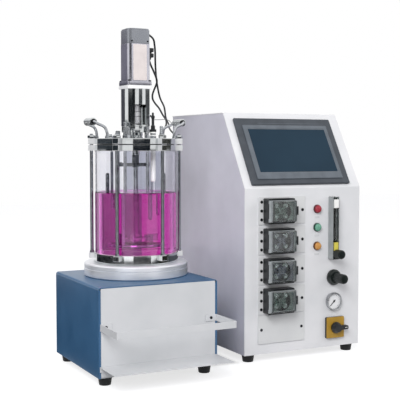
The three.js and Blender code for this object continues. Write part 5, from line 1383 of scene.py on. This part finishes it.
def pumpCoverForms():
    x0, x1, h, t = p.coverLeft, p.coverRight, p.coverHalf, p.wall
    shell = lofted([coverLoop(x0, x1, h, p.coverBack, 2.5), coverLoop(x0, x1, h, p.coverFront + 2, 2.5),
                    coverLoop(x0 + 0.6, x1 - 0.6, h - 0.6, p.coverFront + 0.6, 2.2),
                    coverLoop(x0 + 2, x1 - 2, h - 2, p.coverFront, 2)])
    hollow = lofted([coverLoop(x0 + 2 * t, x1 - t, h - t, p.coverBack + 2, 2),
                     coverLoop(x0 + 2 * t, x1 - t, h - t, p.coverFront + t + 1, 2),
                     coverLoop(x0 + 2 * t + 1, x1 - t - 1, h - t - 1, p.coverFront + t, 1.4)])
    barrel = moved(pipe(p.hinge, p.hingePin + 0.3, -h, h, 32), p.hingeX, p.hingeY)
    clear = carved(shell, hollow, moved(pin(p.hinge + 0.15, -40, 40, 32), p.hingeX, p.hingeY))
    # the cover's side and edge faces take the frosted copy: a painted highlight along its edges
    forms = [(clear, 0, 1), (barrel, 1)]
    for low, high in ((0.3 - h, 8 - h), (h - 8, h - 0.3)):  # thick lobes where the cover turns on its pin
        forms.append((moved(pipe(p.hinge + 1.1, p.hinge - 0.2, low, high, 32), p.hingeX, p.hingeY), 1))
    return forms


tones = [(rotorGreen, trackGreen), (rotorBlue, trackGrey), (rotorBlue, trackGrey), (rotorGreen, trackGreen)]
for i, height in enumerate(panel["pumps"]):
    rotorTone, trackTone = tones[i]
    place = inCabinet(0, 0, height)
    n = str(i + 1)
    piece("pump_head_" + n, "frame", [blackPlastic, platePowder, trackTone, blackScrew, darkSteel],
          "black_plastic", pumpHead(), place, ["pump_body_" + n], 0.3)
    piece("roller_rotor_" + n, "rotor_" + n, [rotorTone, rollerPlastic, rodSteel], "white_plastic",
          pumpRotorForms(), place, ["pump_rotor_" + n], 0.25)
    piece("clear_cover_" + n, "cover_" + n, [clearAcrylic, frostedLitAcrylic], "clear_plastic",
          pumpCoverForms(), place, ["pump_cover_" + n], 0)
blank = {"outline": (36, 167, 43.5, 111.5), "front": -2.8, "back": -0.3, "screws": (45, 158),
         "screwHeight": 77.5, "screw": 3.6}
blankForms = [prism(roundedOutline(*blank["outline"], 1.5), blank["front"], blank["back"], "y")]
for x in blank["screws"]:
    screw = facing(panScrew(blank["screw"], 1.5))
    blankForms.append((moved(screw, x, blank["front"], blank["screwHeight"]), 1))
piece("blank_cover_plate", "frame", [platePowder, blackScrew], "white_paint", blankForms, cabinetCorner,
      ["blank_plate"], 0.4)
print("pumps made")


# pilot lamps, flow meter, regulator, gauge and main switch
lampShape = {"lens": 9.2, "rim": 10.8, "proud": 10, "body": 9, "length": 32, "labelDrop": 20,
             "labelHalf": 7, "labelRise": 2.4}
q = SimpleNamespace(**lampShape)
lampFinishes = {"red": (redLens, redCollar), "green": (greenLens, greenCollar),
                "amber": (amberLens, amberCollar)}
for colour, height in panel["lamps"].items():
    lens, collar = lampFinishes[colour]
    collarForm = spun([(0, 0.3), (q.rim, 0.3), (q.rim, 1.6), (q.rim - 0.6, 2.6), (q.lens + 0.4, 4.2),
                       (q.lens + 0.4, 5.2), (q.lens - 0.4, 5.4), (0, 5.4)], 64)
    dome = spun([(0, 5.2), (q.lens - 0.2, 5.2), (q.lens, 6.4), (q.lens - 0.8, 7.8), (q.lens * 0.75, 9),
                 (q.lens * 0.4, 9.8), (0, q.proud)], 64)
    barrel = rotated(spun([(0, 0.2), (q.body, 0.2), (q.body, q.length), (0, q.length)], 48), -90, "X")
    label = prism(roundedOutline(-q.labelHalf, q.labelHalf, -q.labelDrop - q.labelRise,
                                 -q.labelDrop + q.labelRise, 1), -0.5, -0.05, "y")
    piece("lamp_" + colour + "_lens", "frame", [lens, collar, blackPlastic, labelGrey], colour + "_lens",
          [facing(dome), (facing(collarForm), 1), (barrel, 2), (label, 3)],
          inCabinet(panel["lampX"], 0, height), ["lamp_" + colour], 0)

meter = {"x": 245, "half": 8.5, "front": -22.3, "back": -0.3, "low": 238, "high": 392, "bore": 5.5,
         "boreY": -11.3, "boreLow": 284, "knobHeight": 252, "knob": 11, "knobLength": 25, "float": 4.6,
         "floatLow": 284.3, "ticks": 15, "tickLow": 292, "tickStep": 4.8, "tickLeft": 7.6,
         "longTick": 3.4, "shortTick": 2, "backing": (286, 364),
         "fittings": [(6.8, 7.2, 364.6, 385.5), (6, 6.6, 259, 280)], "fittingBack": -3.5}
f = SimpleNamespace(**meter)
tubeBlock = carved(
    prism(roundedOutline(f.x - f.half, f.x + f.half, f.front, f.back, 1), f.low, f.high),
    moved(pin(f.bore, f.boreLow, f.high + 1, 48), f.x, f.boreY),
    moved(facing(pin(3.3, -8, 30, 24)), f.x, f.front, f.knobHeight))
low, high = f.low + 1, f.high - 1
meterForms = [tubeBlock]
for number, (left, right, *ends) in enumerate(f.fittings, 1):  # white above, yellow below
    meterForms.append((slab(f.x - left, f.x + right, f.front - 0.1, f.fittingBack, *ends), number))
meterForms += [
    (prism(arcPoints(f.x, f.boreY, f.bore + 0.5, -10, 190, 16)
           + arcPoints(f.x, f.boreY, f.bore, 190, -10, 16), *f.backing), 3),
    # pale frosted strips on both side faces: painted light seen through the acrylic's sides
    (slab(f.x - f.half - 0.04, f.x - f.half + 0.4, f.front + 0.6, -0.9, low, high), 4),
    (slab(f.x + f.half - 0.4, f.x + f.half + 0.04, f.front + 0.6, -0.9, low, high), 4),
    (slab(f.x - 8.3, f.x + 8.3, -1.4, -0.6, low + 1, high), 3),
    (slab(f.x - 8.2, f.x + 8.2, -19, -1.5, low, 258.5), 3),
    (moved(facing(panScrew(2, 1)), f.x, f.front + 0.1, f.high - 4), 3)]
for i in range(f.ticks):  # scale ticks on the front face, long ones at each fifth
    left, up = f.x - f.tickLeft, f.tickLow + i * f.tickStep
    wide = f.shortTick if i % 5 else f.longTick
    meterForms.append((slab(left, left + wide, f.front - 0.05, f.front + 0.1, up - 0.3, up + 0.3), 3))
piece("flow_meter_block", "frame", [clearAcrylic, whitePlastic, yellowFitting, blackRubber, frostedLitAcrylic],
      "clear_plastic", meterForms, cabinetCorner, ["flow_meter"], 0)
floatForm = spun(lifted(f.floatLow, [(0, 0), (2, 0), (f.float - 0.3, 3.7), (f.float, 4.3), (f.float, 8.1),
                                     (f.float - 0.6, 9), (0, 9)]), 40)
piece("float_body", "float", blackPlastic, "black_plastic", [moved(floatForm, f.x, f.boreY)], cabinetCorner,
      ["flow_meter_float"], 0)
knobTop = f.knobLength
piece("flow_valve_knob", "flow_knob", [knobPlastic, rodSteel], "black_plastic", [
    facing(knurled(f.knob, 2, knobTop - 1.5, 24, 0.7)),
    facing(spun([(0, 0), (f.knob - 1.5, 0), (f.knob - 0.8, 2.2), (0, 2.2)], 48)),
    facing(spun([(0, knobTop - 1.6), (f.knob - 0.7, knobTop - 1.6), (f.knob - 1.6, knobTop),
                 (f.knob - 3, knobTop), (f.knob - 3.4, knobTop - 0.6), (0, knobTop - 0.6)], 48)),
    (facing(pin(3, -7.7, 1, 24)), 1)],
      inCabinet(f.x, f.front - 0.3, f.knobHeight), ["flow_meter_knob"], 0.2)

regulator = {"flange": 19.5, "flangeDepth": 11, "knob": 12, "depth": 38, "stem": 6, "stemLength": 30}
g = SimpleNamespace(**regulator)
top = g.flangeDepth + g.depth
piece("pressure_regulator_knob", "regulator", knobPlastic, "black_plastic", [
    facing(spun([(0, 0), (g.flange - 0.6, 0), (g.flange, 0.8), (g.flange, 6.5), (g.flange - 1.5, 8.6),
                 (g.knob + 2, g.flangeDepth), (0, g.flangeDepth)], 72)),
    facing(knurled(g.knob, g.flangeDepth - 0.5, top - 3, 20, 0.9)),
    facing(spun([(0, top - 3.2), (g.knob - 0.6, top - 3.2), (g.knob - 0.8, top - 1.4), (g.knob - 2.2, top),
                 (g.knob - 5, top), (g.knob - 5.5, top - 0.7), (0, top - 0.7)], 48)),
    rotated(pin(g.stem, -0.5, g.stemLength, 32), -90, "X")],
      onPanel("regulator", -0.3), ["regulator_knob"], 0.25)

gauge = {"radius": 22, "rim": 3, "depth": 10, "recess": 5, "can": 20, "canLength": 28, "needle": 15,
         "tail": 5, "turn": -135, "start": -135, "sweep": 270, "ticks": 20, "tickHalf": 0.28,
         "longTick": 3.6, "shortTick": 2}
g = SimpleNamespace(**gauge)
dialFace = g.depth - g.recess
caseForms = [facing(spun([(0, -g.canLength), (g.can, -g.canLength), (g.can, 0.3), (g.radius - 0.8, 0.3),
                          (g.radius, 1.2), (g.radius, g.depth - 1.6), (g.radius - 0.9, g.depth - 0.3),
                          (g.radius - 2, g.depth), (g.radius - g.rim, g.depth - 1.2),
                          (g.radius - g.rim, dialFace), (0, dialFace)], 96)),
             (facing(pin(g.radius - g.rim - 0.1, dialFace - 0.1, dialFace + 0.15, 64)), 1)]
tickEnd = g.radius - g.rim - 1.4
for i in range(g.ticks + 1):
    reach = g.shortTick if i % 4 else g.longTick
    tick = slab(-g.tickHalf, g.tickHalf, -dialFace - 0.22, -dialFace - 0.1, tickEnd - reach, tickEnd)
    caseForms.append((rotated(tick, g.start + g.sweep * i / g.ticks, "Y"), 2))
piece("pressure_gauge_case", "frame", [gaugeRimSteel, dialCard, inkBlack], "grey_plastic", caseForms,
      onPanel("gauge"), ["gauge_body"], 0)
blade = prism([(-1, -g.tail), (1, -g.tail), (1, 2), (0.35, g.needle), (-0.35, g.needle)],
              -dialFace - 1.3, -dialFace - 0.3, "y")
boss = spun(lifted(dialFace, [(0, 0.3), (2.5, 0.3), (2.5, 1.3), (1.8, 1.9), (0, 1.9)]), 32)
arbor = rotated(pin(1.2, -dialFace - 0.5, 6, 16), -90, "X")
piece("pressure_gauge_needle", "needle", [blackScrew, rodSteel], "black_plastic",
      [rotated(blade, g.turn, "Y"), facing(boss), (arbor, 1)],
      onPanel("gauge"), ["gauge_needle"], 0)

rotary = {"half": 26, "front": -8.3, "knob": 14, "knobDepth": 15, "lever": 31, "leverHalf": 5.5,
          "leverDepth": 12, "stem": 4, "stemLength": 19, "stemBore": 4.3, "body": 20, "bodyEnd": 45,
          "mark": (20, 28)}
k = SimpleNamespace(**rotary)
piece("switch_mounting_plate", "frame", [blackPlastic, yellowPlastic], "yellow_plastic", [
    prism(squareOutline(k.half, 2.5), k.front + 1.6, -0.3, "y"),
    (prism(squareOutline(k.half, 2.5), k.front, k.front + 1.6, "y"), 1),
    carved(prism(squareOutline(k.body, 2), -1.3, k.bodyEnd, "y"),
           facing(pin(k.stemBore, -k.stemLength - 1, 20, 24)))],
      onPanel("switch"), ["switch_plate"], 0.5)
back = k.front - 0.3
ringProfile = [(0, 0), (k.knob - 0.4, 0), (k.knob, 0.6), (k.knob, 5), (k.knob - 1.5, 7.4),
               (k.knob - 3.2, k.knobDepth - 2), (k.knob - 4.6, k.knobDepth), (0, k.knobDepth)]
lever = [(-k.knob / 2, -k.leverHalf + 1.5), (k.knob * 0.8, -k.leverHalf)]
lever += arcPoints(k.lever - 3.5, -k.leverHalf + 4, 3.5, 270, 360, 6)
lever += arcPoints(k.lever - 3.5, k.leverHalf - 4, 3.5, 0, 90, 6)
lever += [(k.knob * 0.8, k.leverHalf), (-k.knob / 2, k.leverHalf - 1.5)]
piece("switch_rotary_knob", "switch", [blackPlastic, whitePlastic, rodSteel], "black_plastic", [
    moved(facing(spun(ringProfile, 64)), 0, back),
    prism(lever, back - k.leverDepth, back - 1, "y"),
    (slab(*k.mark, back - k.leverDepth - 0.15, back - k.leverDepth + 0.1, -0.5, 0.5), 1),
    (moved(rotated(pin(k.stem, 0, k.stemLength - back - 1, 24), -90, "X"), 0, back), 2)],
      onPanel("switch"), ["switch_knob"], 0.7)
print("instruments made")
